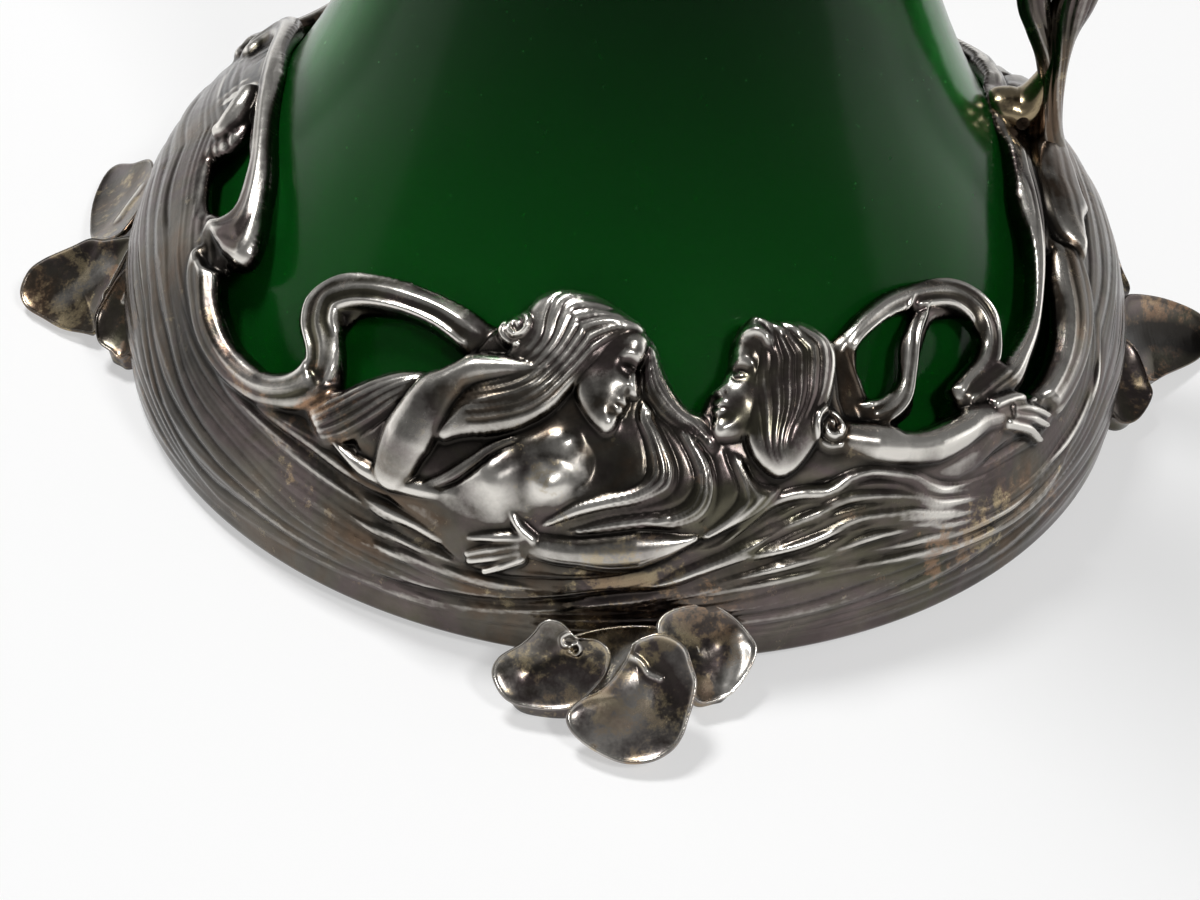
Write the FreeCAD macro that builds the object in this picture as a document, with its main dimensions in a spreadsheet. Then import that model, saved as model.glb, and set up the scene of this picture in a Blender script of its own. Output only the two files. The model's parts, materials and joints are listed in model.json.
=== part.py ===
import FreeCAD, Part
import math
import os
import Sketcher
from FreeCAD import Matrix, Placement, Rotation, Vector

# Claret decanter: a flared glass body in a cast mount on four lily-pad feet, with a
# collar, a spout and a hinged lid. Origin on the vessel's axis at table level, Z up,
# spout towards -X, handle towards +X, the main relief towards -Y. Millimetres.

SIZES = {
    # glass
    "belly_radius": 77.5,
    "belly_height": 14.0,
    "neck_radius": 18.5,
    "neck_height": 225.0,
    "neck_length": 73.0,
    "glass_foot_inset": 11.5,
    "glass_base_height": 4.0,
    "glass_wall": 4.0,
    "glass_floor": 7.0,
    # cast band round the foot of the glass
    "mount_space": 7.5,
    "band_bottom": 1.5,
    "band_wall_height": 13.4,
    "band_wall": 2.2,
    "band_lip_height": 24.0,
    "band_edge_crest": 44.0,
    "shoulder_overrise": 4.0,
    "scallop_depth": 14.0,
    "scallop_radius": 16.0,
    "glass_clearance": 0.3,
    # bottom plate and bedding
    "plate_thickness": 1.2,
    "plate_clearance": 0.1,
    "bedding_drop": 2.0,
    "bedding_clearance": 0.2,
    # lily-pad feet
    "leaf_radius": 11.0,
    "leaf_thickness": 7.0,
    "leaf_dish": 1.2,
    "leaf_height": 7.6,
    "foot_overhang": 14.0,
    "foot_spread": 12.0,
    "foot_clearance": 0.05,
    # maidens
    "head_length": 22.0,
    "head_width": 15.0,
    "head_relief": 5.5,
    "torso_length": 26.0,
    "torso_width": 20.0,
    "torso_relief": 4.5,
    "arm_width": 6.0,
    "arm_relief": 4.2,
    # ribbons on the glass and the band
    "ribbon_width": 4.6,
    "ribbon_thickness": 3.0,
    "strap_width": 5.6,
    # handle
    "handle_overhang": 7.0,
    "handle_drop": 2.0,
    "handle_width": 11.0,
    "handle_thickness": 6.0,
    "tendril_width": 4.4,
    "sheath_length": 30.0,
    "sheath_width": 24.0,
    "sheath_relief": 3.4,
    "lug_radius": 4.4,
    "lug_lift": 2.5,
    "pin_radius": 1.1,
    "pin_clearance": 0.05,
    # collar and spout
    "collar_cover": 36.0,
    "collar_thickness": 3.0,
    "cement_gap": 0.8,
    "collar_bead": 1.6,
    "cement_clearance": 0.05,
    "glass_headroom": 4.0,
    "cup_rise": 24.0,
    "cup_wall": 1.8,
    "spout_draw": 11.7,
    "cup_side_flare": 0.7,
    "cup_back_flare": 2.7,
    # hinge
    "hinge_stand": 6.5,
    "hinge_lift": 2.0,
    "knuckle_radius": 3.2,
    "knuckle_length": 5.0,
    "knuckle_gap": 0.3,
    "hinge_pin_radius": 1.2,
    "hinge_clearance": 0.05,
    # lid
    "lid_seat_gap": 0.3,
    "lid_rise": 19.0,
    "lid_wall": 1.6,
    "lid_rim": 2.0,
    "thumb_height": 15.0,
    "thumb_width": 9.0,
    "thumb_thickness": 2.4,
    "finial_height": 38.0,
    "finial_radius": 8.0,
    "finial_stud_radius": 2.0,
    "nut_radius": 4.2,
    "nut_height": 3.0,
    # one overrun for every cut
    "overrun": 6.0,
}

doc = FreeCAD.newDocument("decanter")
sheet = doc.addObject("Spreadsheet::Sheet", "sizes")
for row, (alias, number) in enumerate(SIZES.items(), start=1):
    sheet.set(f"A{row}", alias)
    sheet.set(f"B{row}", str(number))
    sheet.setAlias(f"B{row}", alias)
doc.recompute()


class Size:
    """A length together with the sheet expression that gives it."""

    def __init__(self, value, text):
        self.value = float(value)
        self.text = text

    @staticmethod
    def of(thing):
        return thing if isinstance(thing, Size) else Size(thing, repr(float(thing)))

    def __add__(self, other):
        other = Size.of(other)
        return Size(self.value + other.value, f"({self.text} + {other.text})")

    def __sub__(self, other):
        other = Size.of(other)
        return Size(self.value - other.value, f"({self.text} - {other.text})")

    def __mul__(self, factor):
        factor = Size.of(factor)
        return Size(self.value * factor.value, f"({self.text} * {factor.text})")

    def __truediv__(self, factor):
        factor = Size.of(factor)
        return Size(self.value / factor.value, f"({self.text} / {factor.text})")

    def __neg__(self):
        return Size(-self.value, f"(-1 * {self.text})")

    def __float__(self):
        return self.value


worked_out = {}


class Sheet:
    """Gives a size by its name: one from the spreadsheet, or one worked out from those."""

    def __getattr__(self, alias):
        if alias in worked_out:
            return worked_out[alias]
        return Size(sheet.get(alias), f"sizes.{alias}")


size = Sheet()

# How far the shoulder draws in, as a share of the glass's flare
SHOULDER_DRAW_SHARE = 0.42
# Where the lug ends, as a share of the handle's reach
LUG_REACH_SHARE = 0.739

# The mount and its feet stand round the glass
worked_out["glass_foot_radius"] = size.belly_radius - size.glass_foot_inset
worked_out["band_radius"] = size.belly_radius + size.mount_space
worked_out["band_shoulder_draw"] = (size.belly_radius - size.neck_radius) * SHOULDER_DRAW_SHARE
worked_out["shoulder_top"] = size.band_edge_crest + size.shoulder_overrise
worked_out["bedding_height"] = size.band_lip_height - size.bedding_drop
worked_out["foot_reach"] = size.band_radius + size.foot_overhang
# The collar and the spout's cup stand on the neck
worked_out["glass_top"] = size.neck_height + size.neck_length
worked_out["collar_inner"] = size.neck_radius + size.cement_gap
worked_out["collar_outer"] = size.collar_inner + size.collar_thickness
worked_out["collar_bottom"] = size.glass_top - size.collar_cover
worked_out["cup_bottom"] = size.glass_top + size.glass_headroom
worked_out["cup_top"] = size.cup_bottom + size.cup_rise
worked_out["spout_reach"] = size.collar_outer + size.spout_draw
worked_out["cup_half_width"] = size.collar_outer + size.cup_side_flare
worked_out["cup_back"] = size.collar_outer + size.cup_back_flare
worked_out["hinge_out"] = size.cup_back + size.hinge_stand
worked_out["hinge_height"] = size.cup_top + size.hinge_lift
# The handle runs from the mount to the collar
worked_out["handle_reach"] = size.band_radius + size.handle_overhang
worked_out["handle_top"] = size.glass_top - size.handle_drop
worked_out["lug_reach"] = size.handle_reach * LUG_REACH_SHARE
worked_out["lug_height"] = size.band_edge_crest + size.lug_lift

number = {alias: float(getattr(size, alias)) for alias in [*SIZES, *worked_out]}
FULL_TURN = 360
UP = Vector(0, 0, 1)
subparts = {}


def keep(name, item):
    """Names a finished sub-part and puts it on the list to be written."""
    item.Label = name
    subparts[name] = item
    return item


def bind(item, prop, amount):
    """Ties one property to its expression and gives it the same value now."""
    item.setExpression(prop, Size.of(amount).text)


# Sketched outlines


def via(across, up):
    """Marks the point that an arc passes through between its two neighbours."""
    return ("via", across, up)


def fix_point(sketch, geometry, which, across, up):
    for axis, kind, amount in ((-2, "DistanceX", across), (-1, "DistanceY", up)):
        amount = Size.of(amount)
        if amount.value == 0:
            sketch.addConstraint(Sketcher.Constraint("PointOnObject", geometry, which, axis))
        else:
            rule = Sketcher.Constraint(kind, geometry, which, amount.value)
            index = sketch.addConstraint(rule)
            sketch.setExpression(f"Constraints[{index}]", amount.text)


def draw_outline(sketch, outline):
    """Draws a closed outline of lines and arcs, every point bound to the sheet."""
    corners = [item for item in outline if item[0] != "via"]
    arcs = {}
    passed = 0
    for item in outline:
        if item[0] == "via":
            arcs[passed - 1] = item[1:]
        else:
            passed += 1
    ends = []
    for index, start in enumerate(corners):
        stop = corners[(index + 1) % len(corners)]
        first = Vector(float(start[0]), float(start[1]), 0)
        last = Vector(float(stop[0]), float(stop[1]), 0)
        if index in arcs:
            middle = Vector(float(arcs[index][0]), float(arcs[index][1]), 0)
            turned = (middle - first).cross(last - middle).z < 0
            run = (last, middle, first) if turned else (first, middle, last)
            geometry = sketch.addGeometry(Part.Arc(*run), False)
            ends.append((geometry, 2, 1) if turned else (geometry, 1, 2))
            point = sketch.addGeometry(Part.Point(middle), True)
            fix_point(sketch, point, 1, *arcs[index])
            sketch.addConstraint(Sketcher.Constraint("PointOnObject", point, 1, geometry))
        else:
            geometry = sketch.addGeometry(Part.LineSegment(first, last), False)
            ends.append((geometry, 1, 2))
    for index, (geometry, begin, finish) in enumerate(ends):
        after = ends[(index + 1) % len(ends)]
        sketch.addConstraint(Sketcher.Constraint("Coincident", geometry, finish, after[0], after[1]))
        fix_point(sketch, geometry, begin, *corners[index])


def new_body(name):
    return doc.addObject("PartDesign::Body", name)


def sketch_on(body, name, role, outline=None):
    sketch = body.newObject("Sketcher::SketchObject", name)
    plane = next(item for item in body.Origin.OriginFeatures if item.Role == role)
    sketch.AttachmentSupport = [(plane, "")]
    sketch.MapMode = "FlatFace"
    if outline:
        draw_outline(sketch, outline)
    return sketch


def turned_body(name, outline, out=0, cut=None):
    """A solid of revolution about an upright axis standing at x = out."""
    body = new_body(name)
    sketch = sketch_on(body, name + "_outline", "XZ_Plane", outline)
    turn = body.newObject("PartDesign::Revolution", name + "_turn")
    turn.Profile = sketch
    turn.ReferenceAxis = (sketch, ["V_Axis"])
    turn.Angle = FULL_TURN
    if cut:
        inner = sketch_on(body, name + "_hollow", "XZ_Plane", cut)
        groove = body.newObject("PartDesign::Groove", name + "_groove")
        groove.Profile = inner
        groove.ReferenceAxis = (inner, ["V_Axis"])
        groove.Angle = FULL_TURN
    if out:
        bind(body, "Placement.Base.x", out)
    return body


def padded_body(name, outline, width, holes=()):
    """An outline in the XZ plane padded to both sides, with round cross holes."""
    body = new_body(name)
    sketch = sketch_on(body, name + "_outline", "XZ_Plane", outline)
    pad = body.newObject("PartDesign::Pad", name + "_pad")
    pad.Profile = sketch
    bind(pad, "Length", width)
    pad.SideType = "Symmetric"
    for index, (across, up, radius) in enumerate(holes):
        round_sketch = sketch_on(body, f"{name}_hole_{index}", "XZ_Plane")
        add_circle(round_sketch, across, up, radius)
        pocket = body.newObject("PartDesign::Pocket", f"{name}_bore_{index}")
        pocket.Profile = round_sketch
        pocket.Type = "ThroughAll"
        pocket.SideType = "Symmetric"
    return body


def add_circle(sketch, across, up, radius):
    centre = Vector(float(across), float(up), 0)
    circle = sketch.addGeometry(Part.Circle(centre, Vector(0, 0, 1), float(radius)), False)
    fix_point(sketch, circle, 3, across, up)
    index = sketch.addConstraint(Sketcher.Constraint("Radius", circle, float(radius)))
    sketch.setExpression(f"Constraints[{index}]", Size.of(radius).text)


# Free shapes

RING_POINTS = 8


def feature(name, shape):
    item = doc.addObject("Part::Feature", name)
    item.Shape = shape
    return item


def smooth_edge(points, closed=False):
    curve = Part.BSplineCurve()
    curve.interpolate(Points=points, PeriodicFlag=closed)
    return curve.toShape()


def profile(name, runs):
    """A face in the XZ plane from runs of points: two points a line, more a curve."""
    edges = [
        Part.LineSegment(*run).toShape() if len(run) == 2 else smooth_edge(run)
        for run in runs
    ]
    return feature(name, Part.Face(Part.Wire(edges)))


def turned(name, source):
    turn = doc.addObject("Part::Revolution", name)
    turn.Source = source
    turn.Axis = UP
    turn.Angle = FULL_TURN
    turn.Solid = True
    return turn


def boolean(kind, name, base, tool):
    item = doc.addObject("Part::" + kind, name)
    item.Base = base
    item.Tool = tool
    return item


def ellipsoid(place, across, along, outward, half_width, half_length, relief):
    """A ball stretched to three half sizes along three directions."""
    matrix = Matrix()
    columns = (across * half_width, along * half_length, outward * relief)
    for column, vector in enumerate(columns):
        for line, part in enumerate((vector.x, vector.y, vector.z)):
            setattr(matrix, f"A{line + 1}{column + 1}", part)
    for line, part in enumerate((place.x, place.y, place.z)):
        setattr(matrix, f"A{line + 1}4", part)
    return Part.makeSphere(1).transformGeometry(matrix)


def between(values, finer):
    """Adds finer - 1 smooth steps between each two neighbours in a list."""
    full = []
    last = len(values) - 1
    for index in range(last):
        one, two = values[index], values[index + 1]
        before = values[index - 1] if index else one + (one - two)
        after = values[index + 2] if index + 2 <= last else two + (two - one)
        for step in range(finer):
            share = step / finer
            bend = (one - before + two - after) * (share * (1 - share) / 4)
            full.append(one * (1 - share) + two * share + bend)
    return full + [values[-1]]


def strand(stations, finer=1):
    """A solid lofted through ellipses. A station is (place, outward, half width, half height)."""
    columns = [between(list(column), finer) for column in zip(*stations)]
    stations = list(zip(*columns))
    rings = []
    for index, (place, normal, half_width, half_height) in enumerate(stations):
        before = stations[max(index - 1, 0)][0]
        after = stations[min(index + 1, len(stations) - 1)][0]
        along = (after - before).normalize()
        across = along.cross(normal).normalize()
        lift = across.cross(along).normalize()
        points = []
        for step in range(RING_POINTS):
            angle = 2 * math.pi * step / RING_POINTS
            side = across * (half_width * math.cos(angle))
            rise = lift * (half_height * math.sin(angle))
            points.append(place + side + rise)
        rings.append(Part.Wire(smooth_edge(points, closed=True)))
    return Part.makeLoft(rings, True, True)


def largest(shape):
    return max(shape.Solids, key=lambda solid: solid.Volume)


# Glass

# Radius as a share from neck to belly, height as a share from belly to neck
GLASS_CURVE_SHARES = (
    (1.0, 0.0), (0.961, 0.038), (0.876, 0.076), (0.771, 0.114), (0.697, 0.142),
    (0.585, 0.19), (0.48, 0.246), (0.375, 0.313), (0.2525, 0.408), (0.144, 0.526),
    (0.0644, 0.668), (0.017, 0.834), (0.0, 1.0),
)
GLASS_ROUND_SHARES = (0.7, 0.4)
INNER_CORNER_SHARES = ((0.79, 0.0), (0.93, 0.15), (0.99, 0.5))


def glass_curve(lift=0.0):
    """Points up the outside of the glass, moved out by lift."""
    flare = number["belly_radius"] - number["neck_radius"]
    rise = number["neck_height"] - number["belly_height"]
    points = []
    for out_share, up_share in GLASS_CURVE_SHARES:
        radius = number["neck_radius"] + out_share * flare + lift
        points.append(Vector(radius, 0, number["belly_height"] + up_share * rise))
    return points


def glass_foot(lift=0.0):
    """The two points that round the glass below its belly."""
    foot = number["glass_foot_radius"]
    out = foot + GLASS_ROUND_SHARES[0] * (number["belly_radius"] - foot)
    drop = number["belly_height"] - number["glass_base_height"]
    up = number["glass_base_height"] + GLASS_ROUND_SHARES[1] * drop
    base = number["glass_base_height"]
    return [Vector(foot + lift, 0, base - lift), Vector(out + lift, 0, up - lift)]


def glass_radius(height, lift=0.0):
    """Radius of the outside of the glass at one height, from its curve's points."""
    points = glass_curve(lift)
    for low, high in zip(points, points[1:]):
        if low.z <= height <= high.z:
            share = (height - low.z) / (high.z - low.z)
            return low.x + share * (high.x - low.x)
    return points[-1].x if height > points[-1].z else points[0].x


def glass_solid(name, lift, top):
    """Everything inside the outer skin of the glass."""
    curve = glass_foot(lift) + glass_curve(lift)
    low = Vector(0, 0, curve[0].z)
    high = Vector(0, 0, top)
    rim = Vector(curve[-1].x, 0, top)
    face = profile(name + "_outline", [
        [low, curve[0]], curve, [curve[-1], rim], [rim, high], [high, low],
    ])
    return turned(name, face)


def make_glass():
    outer = glass_solid("glass_outer", 0.0, number["glass_top"])
    curve = glass_curve(-number["glass_wall"])[2:]
    floor = number["glass_base_height"] + number["glass_floor"]
    inner_belly = number["belly_radius"] - number["glass_wall"]
    corner = [
        Vector(out * inner_belly, 0, floor + up * (curve[0].z - floor))
        for out, up in INNER_CORNER_SHARES
    ]
    centre = Vector(0, 0, floor)
    top = number["glass_top"] + number["overrun"]
    rim = Vector(curve[-1].x, 0, top)
    high = Vector(0, 0, top)
    face = profile("glass_inside_outline", [
        [centre, corner[0]], corner + curve, [curve[-1], rim], [rim, high], [high, centre],
    ])
    inside = turned("glass_inside", face)
    return keep("glass_vessel", boolean("Cut", "glass_vessel", outer, inside))


# Cast band

# The point that the shoulder's arc passes through, as shares of its draw and rise
SHOULDER_SHARES = (0.246, 0.48)
# Hollows in the top edge: azimuth, and radius as a share of the scallop's
SCALLOPS = ((-137, 1.0), (-50, 1.0), (50, 1.0), (137, 1.0))


def shoulder_points():
    """Start, middle and end of the arc by which the shoulder draws in."""
    draw = size.band_shoulder_draw
    rise = size.shoulder_top - size.band_wall_height
    start = (size.band_radius, size.band_wall_height)
    middle = (start[0] - draw * SHOULDER_SHARES[0], start[1] + rise * SHOULDER_SHARES[1])
    return start, middle, (start[0] - draw, start[1] + rise)


def flat(point):
    return Vector(float(point[0]), 0, float(point[1]))


SHOULDER_ARC = Part.Arc(*(flat(point) for point in shoulder_points())).toShape().Curve


def skin_radius(height):
    """Outside radius of the band: an upright wall, then a shoulder drawn in."""
    if height <= number["band_wall_height"]:
        return number["band_radius"]
    centre = SHOULDER_ARC.Center
    up = min(height, float(shoulder_points()[2][1])) - centre.z
    return centre.x + math.sqrt(SHOULDER_ARC.Radius ** 2 - up * up)


def scallop_cutters():
    """Level bars, square to the axis, that hollow the band's top edge."""
    inner = glass_radius(number["band_edge_crest"]) / 2
    cutters = []
    for azimuth, share in SCALLOPS:
        radius = share * number["scallop_radius"]
        height = number["band_edge_crest"] - number["scallop_depth"] + radius
        way = around(azimuth, 1, 0)
        start = way * inner + UP * height
        reach = number["band_radius"] - inner
        cutters.append(Part.makeCylinder(radius, reach, start, way))
    return cutters


def make_band():
    start, middle, stop = shoulder_points()
    block = turned_body("mount_block", [
        (0, size.band_bottom), (size.band_radius, size.band_bottom),
        start, via(*middle), stop, (0, stop[1]),
    ])
    doc.recompute()
    core = block.Shape
    crest = number["band_edge_crest"]
    top = Part.makeCylinder(
        number["band_radius"], number["overrun"] + number["shoulder_top"],
        Vector(0, 0, crest),
    )
    core = feature("mount_core", core.cut([top] + scallop_cutters()))
    lip = number["band_lip_height"]
    wall = number["band_wall"]
    inner = number["band_radius"] - wall
    clear = number["glass_clearance"]
    low = Vector(0, 0, number["band_bottom"] - number["overrun"])
    points = [low, Vector(inner, 0, low.z), Vector(inner, 0, number["band_wall_height"])]
    points.append(Vector(skin_radius(lip) - wall, 0, lip))
    points += [point for point in glass_curve(clear) if lip + wall < point.z < crest + lip]
    points.append(Vector(0, 0, points[-1].z))
    runs = [[one, two] for one, two in zip(points, points[1:] + points[:1])]
    cavity = turned("band_cavity", profile("band_cavity_outline", runs))
    band = keep("base_band", boolean("Cut", "base_band", core, cavity))
    doc.recompute()
    return core, band


def glass_cutter():
    """A plain stepped cone that holds the glass and its clearance."""
    clear = number["glass_clearance"]
    points = glass_foot(clear) + glass_curve(clear)
    points = [Vector(0, 0, points[0].z)] + points + [Vector(0, 0, points[-1].z)]
    runs = [[one, two] for one, two in zip(points, points[1:] + points[:1])]
    face = Part.Face(Part.Wire([Part.LineSegment(*run).toShape() for run in runs]))
    return face.revolve(Vector(0, 0, 0), UP, FULL_TURN)


def around(azimuth, radius, height):
    angle = math.radians(azimuth)
    return Vector(radius * math.cos(angle), radius * math.sin(angle), height)


def make_bottom():
    """The closing plate and the plaster that beds the glass in the band."""
    bottom = size.band_bottom
    top = bottom + size.plate_thickness
    radius = size.band_radius - size.band_wall - size.plate_clearance
    keep("base_plate", turned_body("base_plate", [
        (0, bottom), (radius, bottom), (radius, top), (0, top),
    ]))
    low = number["band_bottom"] + number["plate_thickness"]
    gap = number["bedding_clearance"]
    outer = number["band_radius"] - number["band_wall"] - gap
    upper = number["bedding_height"]
    draw = skin_radius(upper) - number["band_wall"] - gap
    curve = glass_foot(gap) + [point for point in glass_curve(gap) if point.z < upper]
    curve.append(Vector(glass_radius(upper, gap), 0, upper))
    start = Vector(0, 0, low)
    corner = Vector(outer, 0, low)
    wall = Vector(outer, 0, number["band_wall_height"])
    shoulder = Vector(draw, 0, upper)
    centre = Vector(0, 0, curve[0].z)
    face = profile("bedding_outline", [
        [start, corner], [corner, wall], [wall, shoulder], [shoulder, curve[-1]],
        curve[::-1], [curve[0], centre], [centre, start],
    ])
    keep("plaster_bedding", turned("plaster_bedding", face))


# Places on the mount and on the glass


def outward(azimuth, height, on_glass=False):
    """The direction square to the skin (or the glass) at a place."""
    step = number["overrun"] / 10
    radius = glass_radius if on_glass else skin_radius
    slope = (radius(height - step) - radius(height + step)) / (2 * step)
    flat = Vector(math.cos(math.radians(azimuth)), math.sin(math.radians(azimuth)), 0)
    return (flat + UP * slope).normalize()


def on_skin(azimuth, height, lift=0.0):
    return around(azimuth, skin_radius(height), height) + outward(azimuth, height) * lift


def on_glass(azimuth, height, lift=0.0):
    place = around(azimuth, glass_radius(height), height)
    return place + outward(azimuth, height, True) * lift


def keep_front_and_back(name, shape):
    """Keeps a relief on the front face and its mirror image on the back."""
    keep(name.format("front"), feature(name.format("front"), shape))
    twin = shape.mirror(Vector(0, 0, 0), Vector(0, 1, 0))
    keep(name.format("back"), feature(name.format("back"), twin))


# Lily-pad feet

# Each leaf: out from the axis, along the rim, radius, as shares of reach, spread and radius
LEAF_SHARES = ((0.945, -1.0, 0.91), (1.0, -0.1, 1.0), (0.915, 0.8, 0.82))
LEAF_TILT = 45
# Width of the dish across a leaf's radius
DISH_WIDTH_SHARE = 0.86
FEET = (("foot_handle_side", 0), ("foot_back", 90), ("foot_spout_side", 180), ("foot_front", 270))


def make_leaf(out_share, side_share, radius_share):
    """One dished pad leaning outwards, standing on the table."""
    out = out_share * number["foot_reach"]
    side = side_share * number["foot_spread"]
    radius = radius_share * number["leaf_radius"]
    height = radius_share * number["leaf_height"]
    centre = Vector(out, side, height)
    lean = math.radians(LEAF_TILT)
    face_out = Vector(math.cos(lean), 0, math.sin(lean))
    base = centre - face_out * number["leaf_thickness"]
    disc = Part.makeCylinder(radius, number["leaf_thickness"], base, face_out)
    dish = number["leaf_dish"]
    bowl = (radius * radius * DISH_WIDTH_SHARE ** 2 + dish * dish) / (2 * dish)
    return disc.cut(Part.makeSphere(bowl, centre + face_out * (bowl - dish)))


def make_feet():
    leaves = [make_leaf(*shares) for shares in LEAF_SHARES]
    joined = leaves[0].multiFuse(leaves[1:])
    reach = number["foot_reach"] + number["leaf_radius"]
    below = Part.makeBox(
        2 * reach, 2 * reach, number["foot_reach"],
        Vector(-reach, -reach, -number["foot_reach"]),
    )
    ring = Part.makeCylinder(
        number["band_radius"] + number["foot_clearance"],
        number["band_edge_crest"],
        Vector(0, 0, 0),
    )
    foot = largest(joined.cut(below).cut(ring))
    for name, turn in FEET:
        item = keep(name, feature(name, foot))
        item.Placement = Placement(Vector(0, 0, 0), Rotation(UP, turn))


# Maidens: places as (azimuth, height share of the crest), front side

MAIDENS = {
    "spout": {
        "head": (-98.5, 0.89), "lean": 12, "bun": (-107.5, 0.82),
        "torso": (-103.5, 0.54), "torso_lean": 75,
        "arms": (
            ((-109.0, 0.64), (-114.0, 0.59), (-118.5, 0.56)),
            ((-118.0, 0.58), (-114.0, 0.76), (-107.0, 0.84)),
            ((-89.0, 0.5), (-95.0, 0.4), (-103.0, 0.38), (-109.5, 0.38)),
        ),
    },
    "handle": {
        "head": (-75.5, 0.86), "lean": -10, "bun": (-67.0, 0.7),
        "torso": (-76.0, 0.52), "torso_lean": -60,
        "arms": (
            ((-68.0, 0.62), (-61.0, 0.62), (-54.0, 0.62), (-44.0, 0.66)),
        ),
    },
}
BUN_SHARE = 0.5
ARM_END_SHARE = 0.6


def skin_ball(azimuth, height_share, lean, half_width, half_length, relief):
    """A low rounded form on the skin, its length turned by lean degrees from upright."""
    height = height_share * number["band_edge_crest"]
    normal = outward(azimuth, height)
    along = UP - normal * UP.dot(normal)
    along = Rotation(normal, lean).multVec(along.normalize())
    across = along.cross(normal)
    place = on_skin(azimuth, height)
    return ellipsoid(place, across, along, normal, half_width, half_length, relief)


def make_maiden(side, pose, core, glass):
    width = number["head_width"]
    parts = [
        skin_ball(
            *pose["head"], pose["lean"],
            width / 2, number["head_length"] / 2, number["head_relief"],
        ),
        skin_ball(*pose["bun"], 0, BUN_SHARE * width, BUN_SHARE * width, number["head_relief"]),
        skin_ball(
            *pose["torso"], pose["torso_lean"],
            number["torso_width"] / 2, number["torso_length"] / 2, number["torso_relief"],
        ),
    ]
    for arm in pose["arms"]:
        stations = []
        for index, (azimuth, share) in enumerate(arm):
            height = share * number["band_edge_crest"]
            thin = 1 - (1 - ARM_END_SHARE) * index / (len(arm) - 1)
            stations.append((
                on_skin(azimuth, height), outward(azimuth, height),
                thin * number["arm_width"] / 2, thin * number["arm_relief"],
            ))
        parts.append(strand(stations))
    whole = parts[0].multiFuse(parts[1:])
    maiden = largest(whole.cut(core).cut(glass))
    keep_front_and_back("maiden_{}_" + side, maiden)
    return maiden


# Ribbons: (azimuth, height as a share of the crest, True where it lies on the glass)

RIBBONS = {
    "ribbon_spout": ((
        (-131.0, 0.5, False), (-133.5, 0.66, True), (-137.0, 0.82, True),
        (-134.5, 0.93, True), (-128.0, 1.0, True), (-119.0, 1.0, True), (-111.0, 0.95, True),
    ),),
    "ribbon_handle": (
        (
            (-66.0, 0.86, True), (-60.0, 0.96, True), (-52.0, 1.0, True), (-43.5, 0.93, True),
            (-40.0, 0.8, True), (-43.0, 0.64, False), (-49.0, 0.54, False),
        ),
        (
            (-66.0, 0.55, False), (-59.5, 0.6, False), (-56.0, 0.74, True),
            (-53.0, 0.88, True), (-50.5, 0.99, True),
        ),
    ),
    "strap_handle": ((
        (-47.0, 0.42, False), (-38.0, 0.5, False), (-29.0, 0.66, False), (-21.0, 0.82, False),
        (-14.5, 0.93, False), (-10.0, 1.05, True),
    ),),
}
SPOUT_CURL = (
    (-163.0, 0.7, False), (-156.0, 0.8, True), (-156.5, 0.94, True), (-163.0, 1.08, True),
    (-171.0, 1.15, True), (-179.0, 1.2, True), (173.0, 1.15, True),
)
RIBBON_STEPS = 2
# A cut leaves scraps smaller than this share of a cube on the ribbon's width
SCRAP_SHARE = 0.05


def make_ribbon(runs, width, cutters):
    """Flat raised bands lying on the glass and running down on to the mount."""
    half_width = width / 2
    half_height = number["ribbon_thickness"] / 2
    lift = half_height + 2 * number["glass_clearance"]
    solids = []
    for run in runs:
        stations = []
        for azimuth, share, glassy in run:
            height = share * number["band_edge_crest"]
            place = (on_glass if glassy else on_skin)(azimuth, height, lift if glassy else 0.0)
            stations.append((place, outward(azimuth, height, glassy), half_width, half_height))
        solids += strand(stations, RIBBON_STEPS).cut(cutters).Solids
    smallest = SCRAP_SHARE * width ** 3
    return Part.makeCompound([solid for solid in solids if solid.Volume > smallest])


# Handle

# Out as a share of the reach, up as a share of the top, width and thickness as shares
STEM_SHARES = (
    (0.915, 0.067, 0.35, 0.6), (0.86, 0.105, 0.85, 0.8), (0.8, 0.132, 0.8, 0.85),
    (0.745, 0.158, 0.45, 0.8), (0.73, 0.185, 0.5, 0.8), (0.745, 0.221, 0.8, 0.9),
    (0.8, 0.289, 0.65, 1.0), (0.89, 0.376, 0.6, 1.0), (0.967, 0.477, 0.6, 1.0),
    (1.0, 0.58, 0.62, 1.0), (0.973, 0.69, 0.6, 1.0), (0.86, 0.806, 0.6, 1.0),
    (0.675, 0.9, 0.6, 1.0), (0.457, 0.967, 0.6, 1.0), (0.24, 1.0, 0.7, 1.0),
)
TENDRIL_SHARES = (
    (0.7, 0.172, 0.9), (0.655, 0.2, 1.0), (0.635, 0.235, 1.0), (0.65, 0.285, 1.0),
    (0.71, 0.35, 0.9), (0.8, 0.41, 0.85), (0.895, 0.455, 0.8),
)
STEM_STEPS = 2
SHEATH_HEIGHT_SHARE = 0.72


def handle_place(out_share, up_share):
    return Vector(out_share * number["handle_reach"], 0, up_share * number["handle_top"])


def handle_stations(shares, width, thickness):
    """Stations whose flat side faces out from the middle of the bow."""
    places = [handle_place(out, up) for out, up, *_ in shares]
    stations = []
    for index, item in enumerate(shares):
        before = places[max(index - 1, 0)]
        after = places[min(index + 1, len(places) - 1)]
        normal = Vector(0, 1, 0).cross((after - before).normalize())
        thick = item[3] if len(item) > 3 else item[2]
        stations.append((places[index], normal, item[2] * width / 2, thick * thickness / 2))
    return stations


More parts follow.
